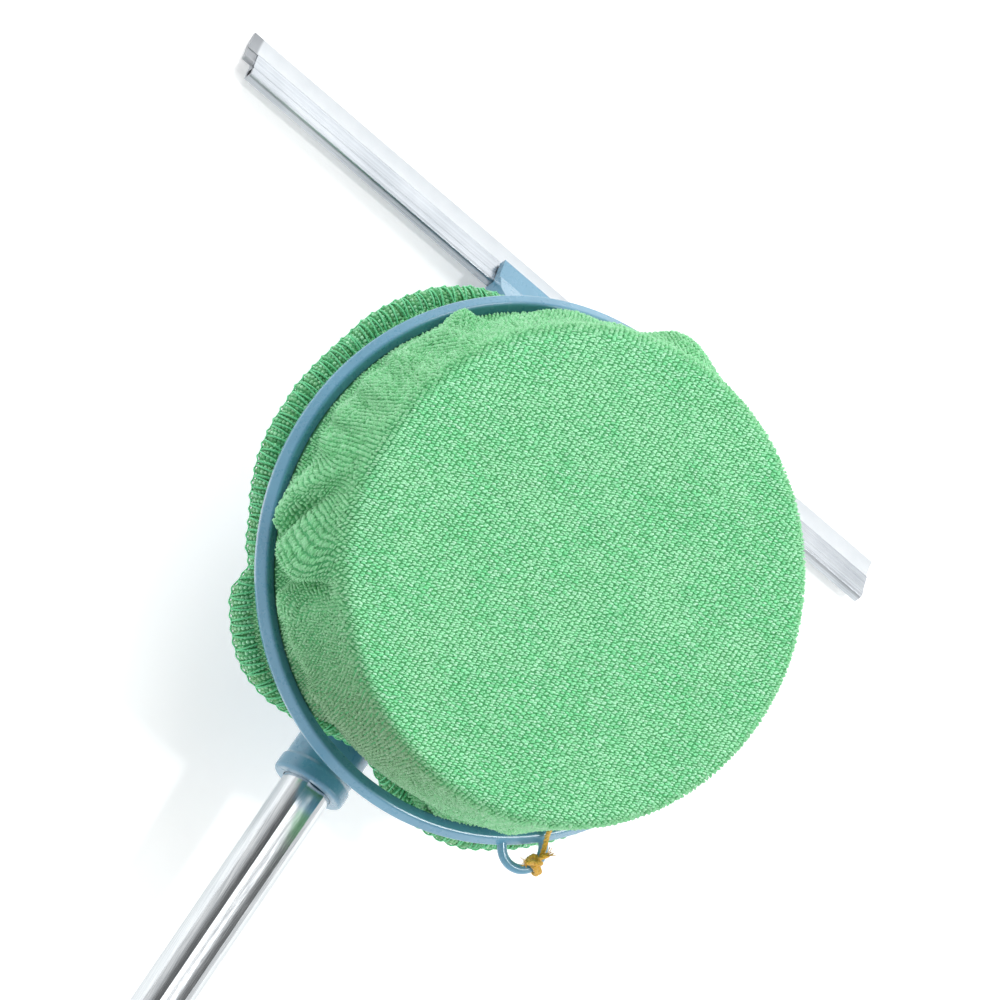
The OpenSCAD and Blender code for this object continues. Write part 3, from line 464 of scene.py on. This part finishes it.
# Folds: place round the pad, lean in degrees per mm of height, how far it stands out in mm, half its
# width in degrees, height of its crest and half its length in mm, and how far the crest leans over in
# degrees per mm. One that stands out less than nothing is a hollow.
FOLDS = (
    (12, 0.00, 1.4, 7, 22, 26, 0.0), (36, 0.05, 1.8, 8, 18, 22, 0.0),
    (62, 0.00, 1.8, 7, 20, 24, 0.3), (94, -0.05, 10.5, 8.0, 34, 20, 0.1),
    (109, 0.05, 2.0, 3.6, 26, 18, -0.3), (121, -0.05, 3.2, 7.0, 17, 18, -0.2),
    (146.2, 0.12, 6.6, 4.4, 14, 15, -0.4), (138, 0.04, -1.6, 2.0, 16, 14, 0.0),
    (154, -0.10, 3.4, 3.4, 30, 22, -0.4), (162, 0.10, 2.8, 3.0, 22, 20, 0.3),
    (171, 0.10, 3.4, 3.2, 26, 20, 0.3), (179.5, 0.12, 3.2, 2.6, 20, 18, 0.4),
    (187, 0.16, 3.0, 2.8, 26, 20, 0.5), (197.8, -0.16, 6.6, 4.0, 19, 25, 0.7),
    (202.4, -0.14, -6.0, 1.9, 18, 17, 0.2), (206.4, 0.14, 7.0, 4.6, 22, 28, 1.0),
    (211.5, 0.16, 4.6, 5.4, 43, 16, 0.8), (216.4, 0.16, -5.0, 2.8, 30, 30, 0.2),
    (225.5, -0.06, 5.2, 3.4, 16, 13, -0.5), (233, 0.02, 2.4, 5.0, 14, 14, 0.2),
    (246, -0.06, 1.8, 2.8, 14, 13, -0.4), (256, 0.02, 1.0, 4.0, 20, 18, 0.0),
    (284, 0.05, 1.0, 4.0, 24, 20, 0.0), (303, 0.00, 2.4, 4.5, 14, 18, 0.2),
    (324, 0.02, 2.0, 4.0, 20, 20, 0.2), (335, -0.04, 6.0, 6.0, 12, 18, 0.5),
    (352, 0.03, 1.8, 5.0, 20, 22, 0.0),
)
# Heights in mm where the folds begin above the hoop and end below the face, and how softly they do
FOLDS_FOOT, FOOT_SOFT = 2.5, 7
FOLDS_TOP, TOP_SOFT = 66, 16
# Above the hoop the cloth is drawn in by some millimetres, but never deeper than the drum behind it
HOOP_DRAW, DRAW_HEIGHT, DRAW_HALF = 2.0, 10, 7
DEEPEST = -2.4
# Where the cloth hangs slack over the foam's edge: places and half widths in degrees, and depth in mm.
# Its flat part waves a little, and its wall is gathered most on the left.
SLACK_LEFT, SLACK_LEFT_HALF = 207, 16
SLACK_TOP, SLACK_TOP_HALF = 140, 20
SLACK_DEPTH = 4.4
FACE_WAVE = 0.35
GATHERED_AT, GATHERED_HALF = 175, 38
# At the neck the cloth is pulled towards the axis: by how many millimetres at which heights in mm
NECK_SIDE, NECK_HALF, NECK_SOFT = 270.0, 19.3, 6
NECK_HEIGHTS = (-4, 4.2, 9, 22.8, 40)
NECK_TUCKS = (10.3, 4.7, 3.3, 1.4, 0)
COVER_RINGS = 92
COVER_STEPS = 288


def ease(t):
    """A smooth step from 0 to 1."""
    t = np.clip(t, 0.0, 1.0)
    return t * t * (3 - 2 * t)


def away(a, b):
    """Signed angle from b to a, in degrees."""
    return (a - b + 540.0) % 360.0 - 180.0


def swell(a, middle, half):
    """A smooth swelling round an angle: 1 in its middle and nearly 0 at twice its half width."""
    return np.exp(-(away(a, middle) / half) ** 2)


def hem_middle(a):
    """Radius and height of the hem's middle line at an angle."""
    line = np.array(HEM_LINE, float)
    place = (np.asarray(a) % 360.0) / 15.0
    i = np.floor(place).astype(int)
    near = [line[(i + k) % len(line)] for k in (-1, 0, 1, 2)]
    found = between(*near, (place - i)[..., None])
    pinch = PINCH_DEPTH * swell(np.asarray(a), PINCH_AT, PINCH_HALF)
    return COVER_SEAT + (found[..., 0] - pinch) * MM, -found[..., 1] * MM


def ripples(a, z, size, seed):
    """Smooth waves round the pad that are never quite regular, from about -1 to 1."""
    turn = np.radians(a)
    wave = np.zeros_like(turn)
    for k in range(5):
        around = round(size * (1 + 0.37 * k))
        wave += np.sin(around * turn + 1.7 * k + seed + 90 * z * math.sin(2.3 * k + seed)) / (1 + 0.6 * k)
    return wave / 2.6


def cover_at(s, a, folded=1.0):
    """Place of a point of the cloth, from its distance to the middle of the cut disc and its angle."""
    s, a = np.asarray(s, float), np.asarray(a, float) % 360.0
    edge = np.clip(s - FACE_FLAT, 0, EDGE_LEN) / EDGE_R
    down = np.clip(s - FACE_FLAT - EDGE_LEN, 0, WALL_LEN + TUCK_LEN)
    tail = np.clip((s - FACE_FLAT - EDGE_LEN - WALL_LEN - TUCK_LEN) / TAIL_LEN, 0, 1)
    z = FACE_Z - EDGE_R * (1 - np.cos(edge)) - down
    seat = ease((FACE_Z - z) / (FACE_Z - WALL_END))
    r = np.minimum(s, FACE_FLAT) + EDGE_R * np.sin(edge) + (COVER_SEAT - PAD_R) * seat

    # Folds stand out of the side between the face's edge and the hoop
    high = z / MM
    reach = ease((high - FOLDS_FOOT) / FOOT_SOFT) * ease((FOLDS_TOP - high) / TOP_SOFT)
    out, shift = np.zeros_like(a), np.zeros_like(a)
    for place, lean, height, half, crest, length, over in FOLDS:
        across = away(a, place + lean * (high - crest)) / half
        along = (high - crest) / length
        hump = height * np.exp(-across ** 2 - along ** 2) * reach
        out += hump
        shift += over * hump

    # Fine ripples lie between them, deepest on the left, where the cloth is gathered most
    gathered = 1 - swell(a, GATHERED_AT, GATHERED_HALF) * 0.4
    fine = ripples(a, z, 37, 0.4) * 0.45 + ripples(a, z, 90, 2.1) * 0.22
    drawn_in = HOOP_DRAW * np.exp(-((high - DRAW_HEIGHT) / DRAW_HALF) ** 2)
    out = np.maximum(out + (fine * (1.5 - gathered) - drawn_in) * reach, DEEPEST) * folded
    shift = shift * folded

    # Towards the left the cloth rolls over the foam's edge instead of turning sharply
    slack = swell(a, SLACK_LEFT, SLACK_LEFT_HALF) + 0.5 * swell(a, SLACK_TOP, SLACK_TOP_HALF)
    z -= SLACK_DEPTH * MM * slack * ease((s - 0.080) / 0.022) * ease((high - 36) / 22)
    z += FACE_WAVE * MM * np.sin(s * 70 + np.radians(a) * 2) * ease((0.09 - s) / 0.03) * ease(s / 0.02)

    # Drawn in at the neck
    drawn = ease((NECK_HALF - np.abs(away(a, NECK_SIDE))) / NECK_SOFT)
    tuck = np.interp(high, NECK_HEIGHTS, NECK_TUCKS) * MM
    r = r + out * MM * (1 - 0.75 * drawn) - tuck * drawn

    # The tail runs from the hoop's back edge into the hem
    hem_radius, hem_height = hem_middle(a)
    r = np.where(tail > 0, r + (hem_radius - r) * tail, r)
    z = np.where(tail > 0, z + (hem_height + HEM_R * 0.4 - z) * tail, z)
    turn = np.radians(a + shift)
    return np.stack([r * np.cos(turn), r * np.sin(turn), z], axis=-1)


def flat_at(u, v):
    """Place of the cloth's point (u, v) of the flat cut."""
    return cover_at(np.hypot(u, v), np.degrees(np.arctan2(v, u)))


def disc(radius, rings, steps):
    """A flat round disc: a row of points from its middle to its edge, spun all the way round."""
    bm = bmesh.new()
    row = [bm.verts.new((radius * i / rings, 0, 0)) for i in range(rings + 1)]
    edges = [bm.edges.new(pair) for pair in zip(row, row[1:])]
    bmesh.ops.spin(
        bm, geom=row + edges, cent=(0, 0, 0), axis=(0, 0, 1), angle=math.tau, steps=steps, use_merge=True
    )
    bmesh.ops.remove_doubles(bm, verts=bm.verts, dist=1e-6)
    return bm


def points_of(bm):
    """The places of a bmesh's points."""
    return np.array([v.co[:] for v in bm.verts])


def drape(bm, places):
    """Moves a bmesh's points to their places, which are given in the ring frame."""
    for vert, place in zip(bm.verts, in_part(places)):
        vert.co = place


def piece(name, bm, material):
    """Makes what a bmesh holds a finished object."""
    mesh = bpy.data.meshes.new(name)
    bm.to_mesh(mesh)
    bm.free()
    return finished(name, mesh, material)


# Ground knit under the loops: fine polyester and polyamide, knitted, dyed and cut with the pile on it. It
# shows as dark green gaps, with fibres 0.5 mm apart and patches of 17 mm that are faded by washing.
knit, tree, shader, coords = new_material("microfibre_ground_knit")
fibres = add(tree, "ShaderNodeTexNoise", Vector=coords, Scale=2200.0, Detail=2.0, Roughness=0.55)
patches = add(tree, "ShaderNodeTexNoise", Vector=coords, Scale=60.0, Detail=3.0, Roughness=0.55)
lit = add(tree, "ShaderNodeMapRange", Value=fibres, From_Min=0.35, From_Max=0.65)
faded = add(tree, "ShaderNodeMapRange", Value=patches, From_Min=0.4, From_Max=0.7, To_Max=0.3)
tone = add(tree, "ShaderNodeMix", {"data_type": "RGBA"}, Factor=lit, A=srgb("#459a5e"), B=srgb("#68c187"))
tone = add(tree, "ShaderNodeMix", {"data_type": "RGBA"}, Factor=faded, A=tone, B=srgb("#6fb277"))
relief = add(tree, "ShaderNodeBump", Distance=0.0004, Height=fibres)
feed(shader, Base_Color=tone, Roughness=0.95, Normal=relief)

bm = disc(CLOTH_CUT_R, COVER_RINGS, COVER_STEPS)
bmesh.ops.recalc_face_normals(bm, faces=bm.faces)
if sum(f.normal.z for f in bm.faces) < 0:
    bmesh.ops.reverse_faces(bm, faces=bm.faces)
flat = points_of(bm)
drape(bm, flat_at(flat[:, 0], flat[:, 1]))
cover = piece("microfibre_cover", bm, knit)
thicken = cover.modifiers.new("cloth_thickness", "SOLIDIFY")
thicken.thickness = CLOTH_T
thicken.offset = -1.0
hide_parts("cloth_cover")

# Terry loops: soft strands of looped pile in rows that run along the squeegee and carry on down the side,
# where gathering the cloth brings them closer. On the face each loop shows its two strands.
ROW_PITCH = 0.00202
LOOP_PITCH = 0.00194
HALF_ROWS = 90
HALF_LOOPS = 102
ROW_SLANT = 0.087
STRAND_GAP = 0.00043
STRAY_ALONG = 0.00026
STRAY_ACROSS = 0.00014
LOOP_HALF_LEN = 0.00102
SIDE_LOOP_HALF_W = 0.00098
STRAND_HALF_W = 0.00050
LOOP_HIGH = 0.00092
SIDE_LOOP_HIGHER = 0.00025
LOOP_SKEW = 0.00035
SKEW_SPREAD = 0.0003
LOOP_LIFT = 0.0001
LOOP_LEAN, SIDE_LEAN = 0.22, 0.16
SIDE_TRIM = 0.14
# Painted shade: how much the side's loops are mixed towards a darker, yellower green than the face's
SIDE_SHADE_PAINT = 0.6
SIDE_SOFT = 0.006
# Painted shade: where round the pad the side is painted dull olive, how widely and how strongly
SHADE_AT, SHADE_HALF, SHADE_DEPTH = 256, 26, 0.75
FACE_LOOPS_R = FACE_FLAT + EDGE_LEN * 0.6
UNDER_HOOP = FACE_FLAT + EDGE_LEN + WALL_LEN + 0.001
PAST_HOOP = FACE_FLAT + EDGE_LEN + WALL_LEN + TUCK_LEN - 0.0005
CUT_MARGIN = 0.001
# Split polyester fibres, in patches of 22 mm where the pile has been brushed one way or the other. The side
# is painted a darker, yellower green than the face, and dull olive round 256 degrees, both as painted shade.
# The fibres are drawn 0.7 mm apart, far coarser than real ones, so that they show.
loops, tree, shader, coords = new_material("microfibre_terry_loops")
pale = add(tree, "ShaderNodeAttribute", {"attribute_name": "tone"}).outputs["Fac"]
shade = add(tree, "ShaderNodeAttribute", {"attribute_name": "shade"}).outputs["Fac"]
painted_side_shade = add(tree, "ShaderNodeAttribute", {"attribute_name": "painted_side_shade"}).outputs["Fac"]
fibres = add(tree, "ShaderNodeTexNoise", Vector=coords, Scale=1500.0, Detail=2.0, Roughness=0.55)
patches = add(tree, "ShaderNodeTexNoise", Vector=coords, Scale=45.0, Detail=3.0, Roughness=0.55)
brushed = add(tree, "ShaderNodeMapRange", Value=patches, From_Min=0.45, From_Max=0.62, To_Max=0.6)
parted = add(tree, "ShaderNodeMapRange", Value=fibres, From_Min=0.46, From_Max=0.64, To_Max=0.6)
tone = add(tree, "ShaderNodeMix", {"data_type": "RGBA"}, Factor=pale, A=srgb("#8bf3af"), B=srgb("#ccffde"))
tone = add(tree, "ShaderNodeMix", {"data_type": "RGBA"}, Factor=brushed, A=tone, B=srgb("#c0ffd2"))
tone = add(tree, "ShaderNodeMix", {"data_type": "RGBA"}, Factor=parted, A=tone, B=srgb("#5cc888"))
# Painted shade: the side mixed to a darker, yellower green, then to dull olive round 256 degrees
tone = add(tree, "ShaderNodeMix", {"data_type": "RGBA"}, Factor=painted_side_shade, A=tone, B=srgb("#86cb91"))
tone = add(tree, "ShaderNodeMix", {"data_type": "RGBA"}, Factor=shade, A=tone, B=srgb("#7c9f78"))
relief = add(tree, "ShaderNodeBump", Distance=0.0005, Height=fibres)
feed(shader, Base_Color=tone, Roughness=0.85, Sheen_Weight=0.35, Sheen_Roughness=0.4, Normal=relief)


def pearl():
    """One strand of a loop: a round ball of radius 1 without its lowest part, which the cloth hides."""
    bm = bmesh.new()
    bmesh.ops.create_icosphere(bm, subdivisions=1, radius=1.0)
    low = [v for v in bm.verts if v.co.z < -0.5]
    bmesh.ops.delete(bm, geom=low, context="VERTS")
    bm.verts.index_update()
    shape = points_of(bm)
    faces = np.array([[v.index for v in f.verts] for f in bm.faces])
    bm.free()
    return shape, faces


def scatter(name, places, axes, material, tones):
    """One mesh of many pearls, each with its place, its three axes and its tones, from the ring frame."""
    count, size = len(places), len(pearl_shape)
    axes = axes @ np.array(HEAD)[:3, :3].T
    points = np.einsum("kj,njd->nkd", pearl_shape, axes) + in_part(places)[:, None, :]
    index = pearl_faces[None, :, :] + (np.arange(count) * size)[:, None, None]
    mesh = bpy.data.meshes.new(name)
    mesh.from_pydata(points.reshape(-1, 3).tolist(), [], index.reshape(-1, pearl_faces.shape[1]).tolist())
    for key, value in tones.items():
        layer = mesh.attributes.new(key, "FLOAT", "POINT")
        layer.data.foreach_set("value", np.repeat(value, size).astype(np.float32))
    return finished(name, mesh, material)


pearl_shape, pearl_faces = pearl()
random_loops = np.random.default_rng(7)
across, along = np.meshgrid(
    np.arange(-HALF_ROWS, HALF_ROWS + 1) * ROW_PITCH, np.arange(-HALF_LOOPS, HALF_LOOPS + 1) * LOOP_PITCH,
    indexing="ij",
)
u, v = (along - ROW_SLANT * across).ravel(), across.ravel()
on_face = np.hypot(u, v) < FACE_LOOPS_R
strand = np.concatenate([np.where(on_face, -1.0, 0.0), np.ones(on_face.sum())])
u, v = np.concatenate([u, u[on_face]]), np.concatenate([v, v[on_face]]) + STRAND_GAP * strand
u = u + random_loops.uniform(-STRAY_ALONG, STRAY_ALONG, u.shape)
v = v + random_loops.uniform(-STRAY_ACROSS, STRAY_ACROSS, v.shape)
s = np.hypot(u, v)
inside = (s < UNDER_HOOP) | ((s > PAST_HOOP) & (s < CLOTH_CUT_R - CUT_MARGIN))
u, v, strand = u[inside], v[inside], strand[inside]
half_width = np.where(strand == 0, SIDE_LOOP_HALF_W, STRAND_HALF_W)[:, None]
near = 0.0004
along_u = (flat_at(u + near, v) - flat_at(u - near, v)) / (2 * near)
along_v = (flat_at(u, v + near) - flat_at(u, v - near)) / (2 * near)
normal = np.cross(along_u, along_v)
normal /= np.maximum(np.linalg.norm(normal, axis=1), 1e-9)[:, None]
size = random_loops.uniform(0.82, 1.16, (len(u), 3))
on_side = ease((np.hypot(u, v) - FACE_FLAT) / SIDE_SOFT)
lean = random_loops.normal(0, 1, (len(u), 2)) * (LOOP_LEAN + SIDE_LEAN * on_side[:, None])
tilt = normal + lean[:, :1] * along_u + lean[:, 1:] * along_v
trim = 1 - SIDE_TRIM * on_side[:, None]
axes = np.stack([
    along_u * (LOOP_HALF_LEN * size[:, :1] * trim) + along_v * (LOOP_SKEW + SKEW_SPREAD * lean[:, :1]),
    along_v * (half_width * size[:, 1:2] * trim),
    tilt * ((LOOP_HIGH + SIDE_LOOP_HIGHER * on_side[:, None]) * size[:, 2:]),
], axis=1)
centre = flat_at(u, v) + normal * LOOP_LIFT
a = np.degrees(np.arctan2(v, u)) % 360
# Painted shade: dull olive on the side round 256 degrees, and a darker, yellower green all round the side
shade = on_side * SHADE_DEPTH * swell(a, SHADE_AT, SHADE_HALF)
painted_side_shade = on_side * SIDE_SHADE_PAINT
tone = random_loops.uniform(0, 1, len(u)) ** 1.3 * 0.8 + 0.2 * (strand > 0)
face_loops, left_loops = strand != 0, u < 0
for name, group in (
    ("loops_of_the_face_left", face_loops & left_loops),
    ("loops_of_the_face_right", face_loops & ~left_loops),
    ("loops_of_the_side_left", ~face_loops & left_loops),
    ("loops_of_the_side_right", ~face_loops & ~left_loops),
):
    tones = {"tone": tone[group], "shade": shade[group], "painted_side_shade": painted_side_shade[group]}
    made = scatter(name, centre[group], axes[group], loops, tones)

# Foam: a disc of open-celled polyurethane under the cloth, cut with a soft upper edge and glued to the
# drum's front plate. The cloth presses it down a little where the cover rolls over. Its cells are 1.1 mm.
FOAM_LOW = 0.0361
FOAM_GAP = CLOTH_T + 0.0018
FOAM_RINGS = 40
FOAM_STEPS = 120
foam_skin, tree, shader, coords = new_material("pale_open_cell_foam")
cells = add(tree, "ShaderNodeTexVoronoi", Vector=coords, Scale=900.0)
walls = add(tree, "ShaderNodeMapRange", Value=cells, From_Min=0.0, From_Max=0.5)
tone = add(tree, "ShaderNodeMix", {"data_type": "RGBA"}, Factor=walls, A=srgb("#b9bd84"), B=srgb("#e6ebba"))
relief = add(tree, "ShaderNodeBump", Distance=0.0004, Height=cells)
feed(shader, Base_Color=tone, Roughness=0.95, Normal=relief)

bm = disc(FACE_FLAT + EDGE_LEN + FACE_Z - EDGE_R - FOAM_LOW - FOAM_GAP, FOAM_RINGS, FOAM_STEPS)
rim = [e for e in bm.edges if e.is_boundary]
bmesh.ops.edgeloop_fill(bm, edges=rim)
flat = points_of(bm)
pressed = cover_at(np.hypot(flat[:, 0], flat[:, 1]), np.degrees(np.arctan2(flat[:, 1], flat[:, 0])), 0.0)
inward = 1 - FOAM_GAP / np.maximum(np.hypot(pressed[:, 0], pressed[:, 1]), 0.01)
pressed[:, :2] *= inward[:, None]
pressed[:, 2] -= FOAM_GAP
drape(bm, pressed)
bmesh.ops.recalc_face_normals(bm, faces=bm.faces)
foam = piece("pad_foam", bm, foam_skin)
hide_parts("foam_disc")

# Hem: the cover's edge rolled over an elastic and overlocked with a brighter thread every 6 mm, so that
# it puckers between the stitches. It draws the cover together behind the hoop.
PUCKERS = 130
PUCKER_DEPTH = 0.00035
HEM_WANDER = 0.0003
HEM_SPIN_R = 0.107
HEM_SIDES = 20
# The same knit, darker in the roll, with fibres 0.5 mm apart and brownish patches of 8 mm
hem_knit, tree, shader, coords = new_material("dark_rolled_hem_knit")
fibres = add(tree, "ShaderNodeTexNoise", Vector=coords, Scale=1900.0, Detail=2.0, Roughness=0.55)
patches = add(tree, "ShaderNodeTexNoise", Vector=coords, Scale=120.0, Detail=3.0, Roughness=0.55)
lit = add(tree, "ShaderNodeMapRange", Value=fibres, From_Min=0.35, From_Max=0.65)
soiled = add(tree, "ShaderNodeMapRange", Value=patches, From_Min=0.45, From_Max=0.65, To_Max=0.4)
tone = add(tree, "ShaderNodeMix", {"data_type": "RGBA"}, Factor=lit, A=srgb("#338a52"), B=srgb("#62bd80"))
tone = add(tree, "ShaderNodeMix", {"data_type": "RGBA"}, Factor=soiled, A=tone, B=srgb("#7f9a62"))
relief = add(tree, "ShaderNodeBump", Distance=0.0005, Height=fibres)
feed(shader, Base_Color=tone, Roughness=0.95, Normal=relief)


def hem_at(a, phi, lift=0.0):
    """Place on the hem: the angle round the pad, and round its roll from outwards towards the front."""
    radius, height = hem_middle(a)
    pucker = PUCKER_DEPTH * np.cos(np.radians(a) * PUCKERS) + HEM_WANDER * ripples(a, 0.0 * a, 23, 1.0)
    r = HEM_R + pucker + lift
    turn, around = np.radians(a), np.radians(phi)
    out = radius + r * np.cos(around)
    return np.stack([out * np.cos(turn), out * np.sin(turn), height + r * np.sin(around)], axis=-1)


bm = bmesh.new()
upright = Matrix.Translation((HEM_SPIN_R, 0, 0)) @ Matrix.Rotation(math.pi / 2, 4, "X")
bmesh.ops.create_circle(bm, segments=HEM_SIDES, radius=HEM_R, matrix=upright)
bmesh.ops.spin(
    bm, geom=bm.verts[:] + bm.edges[:], cent=(0, 0, 0), axis=(0, 0, 1), angle=math.tau,
    steps=6 * PUCKERS, use_merge=True,
)
bmesh.ops.remove_doubles(bm, verts=bm.verts, dist=1e-6)
torus = points_of(bm)
a = np.degrees(np.arctan2(torus[:, 1], torus[:, 0]))
phi = np.degrees(np.arctan2(torus[:, 2], np.hypot(torus[:, 0], torus[:, 1]) - HEM_SPIN_R))
drape(bm, hem_at(a, phi))
bmesh.ops.recalc_face_normals(bm, faces=bm.faces)
hem = piece("rolled_hem", bm, hem_knit)
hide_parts("cover_hem")

# Pile on the hem: the same loops, squeezed together by the roll and darker, which stand between the
# stitches. They are paler low on the left, where the photo's hem catches the light.
HEM_LOOP_STEP = 1.03
HEM_ROW_STEP = 19.0
HEM_PILE_FROM, HEM_PILE_TO = -105, 200
HEM_STRAY = 0.12
HEM_LOOP_HALF = (0.00092, 0.00088, 0.0008)
PALE_AT, PALE_HALF = 220, 18
hem_loops, tree, shader, coords = new_material("dark_hem_terry")
pale = add(tree, "ShaderNodeAttribute", {"attribute_name": "tone"}).outputs["Fac"]
fibres = add(tree, "ShaderNodeTexNoise", Vector=coords, Scale=1500.0, Detail=2.0, Roughness=0.55)
patches = add(tree, "ShaderNodeTexNoise", Vector=coords, Scale=90.0, Detail=3.0, Roughness=0.55)
soiled = add(tree, "ShaderNodeMapRange", Value=patches, From_Min=0.42, From_Max=0.62, To_Max=0.35)
parted = add(tree, "ShaderNodeMapRange", Value=fibres, From_Min=0.45, From_Max=0.7, To_Max=0.5)
tone = add(tree, "ShaderNodeMix", {"data_type": "RGBA"}, Factor=pale, A=srgb("#62bd82"), B=srgb("#aeeec2"))
tone = add(tree, "ShaderNodeMix", {"data_type": "RGBA"}, Factor=soiled, A=tone, B=srgb("#84a866"))
tone = add(tree, "ShaderNodeMix", {"data_type": "RGBA"}, Factor=parted, A=tone, B=srgb("#348a53"))
feed(shader, Base_Color=tone, Roughness=0.9, Sheen_Weight=0.08)

a, phi = np.meshgrid(
    np.arange(0, 360, HEM_LOOP_STEP), np.arange(HEM_PILE_FROM, HEM_PILE_TO, HEM_ROW_STEP), indexing="ij"
)
phi = phi + (np.arange(a.shape[0]) % 2)[:, None] * (HEM_ROW_STEP / 2)
a, phi = a.ravel(), phi.ravel()
a = a + random_loops.uniform(-HEM_STRAY, HEM_STRAY, a.shape)
around = hem_at(a + 0.1, phi) - hem_at(a - 0.1, phi)
around /= np.linalg.norm(around, axis=1)[:, None]
over = hem_at(a, phi + 2) - hem_at(a, phi - 2)
over /= np.linalg.norm(over, axis=1)[:, None]
out = np.cross(around, over)
size = random_loops.uniform(0.8, 1.15, (len(a), 3)) * HEM_LOOP_HALF
axes = np.stack([around * size[:, :1], over * size[:, 1:2], out * size[:, 2:]], axis=1)
tone = np.minimum(random_loops.uniform(0, 1, len(a)) + 0.6 * swell(a, PALE_AT, PALE_HALF), 1)
hem_pile = scatter("loops_of_the_hem", hem_at(a, phi), axes, hem_loops, {"tone": tone})

# Overlock stitches: two legs of bright twisted polyester thread over each pucker, and a wavy edge thread
# outside. They are sewn round the whole hem. The thread's fibres lie 0.4 mm apart.
THREAD_R = 0.00042
THREAD_LIFT = 0.0008
EDGE_THREAD_R = 0.00038
EDGE_THREAD_LIFT = 0.0010
EDGE_THREAD_AT = -18
EDGE_THREAD_WAVE = 16
STITCH_FROM, STITCH_TO, STITCH_POINTS = -35, 150, 12
STITCH_STRAY = 0.35
thread, tree, shader, coords = new_material("bright_overlock_thread")
twist = add(tree, "ShaderNodeTexNoise", Vector=coords, Scale=2400.0, Detail=3.0, Roughness=0.55)
lit = add(tree, "ShaderNodeMapRange", Value=twist, From_Min=0.35, From_Max=0.65)
tone = add(tree, "ShaderNodeMix", {"data_type": "RGBA"}, Factor=lit, A=srgb("#38b06c"), B=srgb("#86e6ac"))
relief = add(tree, "ShaderNodeBump", Distance=0.0002, Height=twist)
feed(shader, Base_Color=tone, Roughness=0.55, Sheen_Weight=0.08, Normal=relief)

stitches = []
over = np.linspace(STITCH_FROM, STITCH_TO, STITCH_POINTS)
for k in range(PUCKERS):
    start = 360 * (k + 0.5) / PUCKERS
    for slant in (random_loops.uniform(-1.3, -0.2), random_loops.uniform(0.7, 2.0)):
        leg = start + slant * (over - STITCH_FROM) / (STITCH_TO - STITCH_FROM)
        leg += random_loops.uniform(-STITCH_STRAY, STITCH_STRAY)
        stitches.append(in_part(hem_at(leg, over, THREAD_LIFT)))
overlock = threads("hem_overlock_stitches", stitches, THREAD_R, thread)
a = np.arange(0, 360, 360 / PUCKERS / 8)
wavy = hem_at(a, EDGE_THREAD_AT + EDGE_THREAD_WAVE * np.sin(np.radians(a) * PUCKERS), EDGE_THREAD_LIFT)
edge_thread = threads("hem_edge_thread", [in_part(wavy)], EDGE_THREAD_R, thread, cyclic=True)
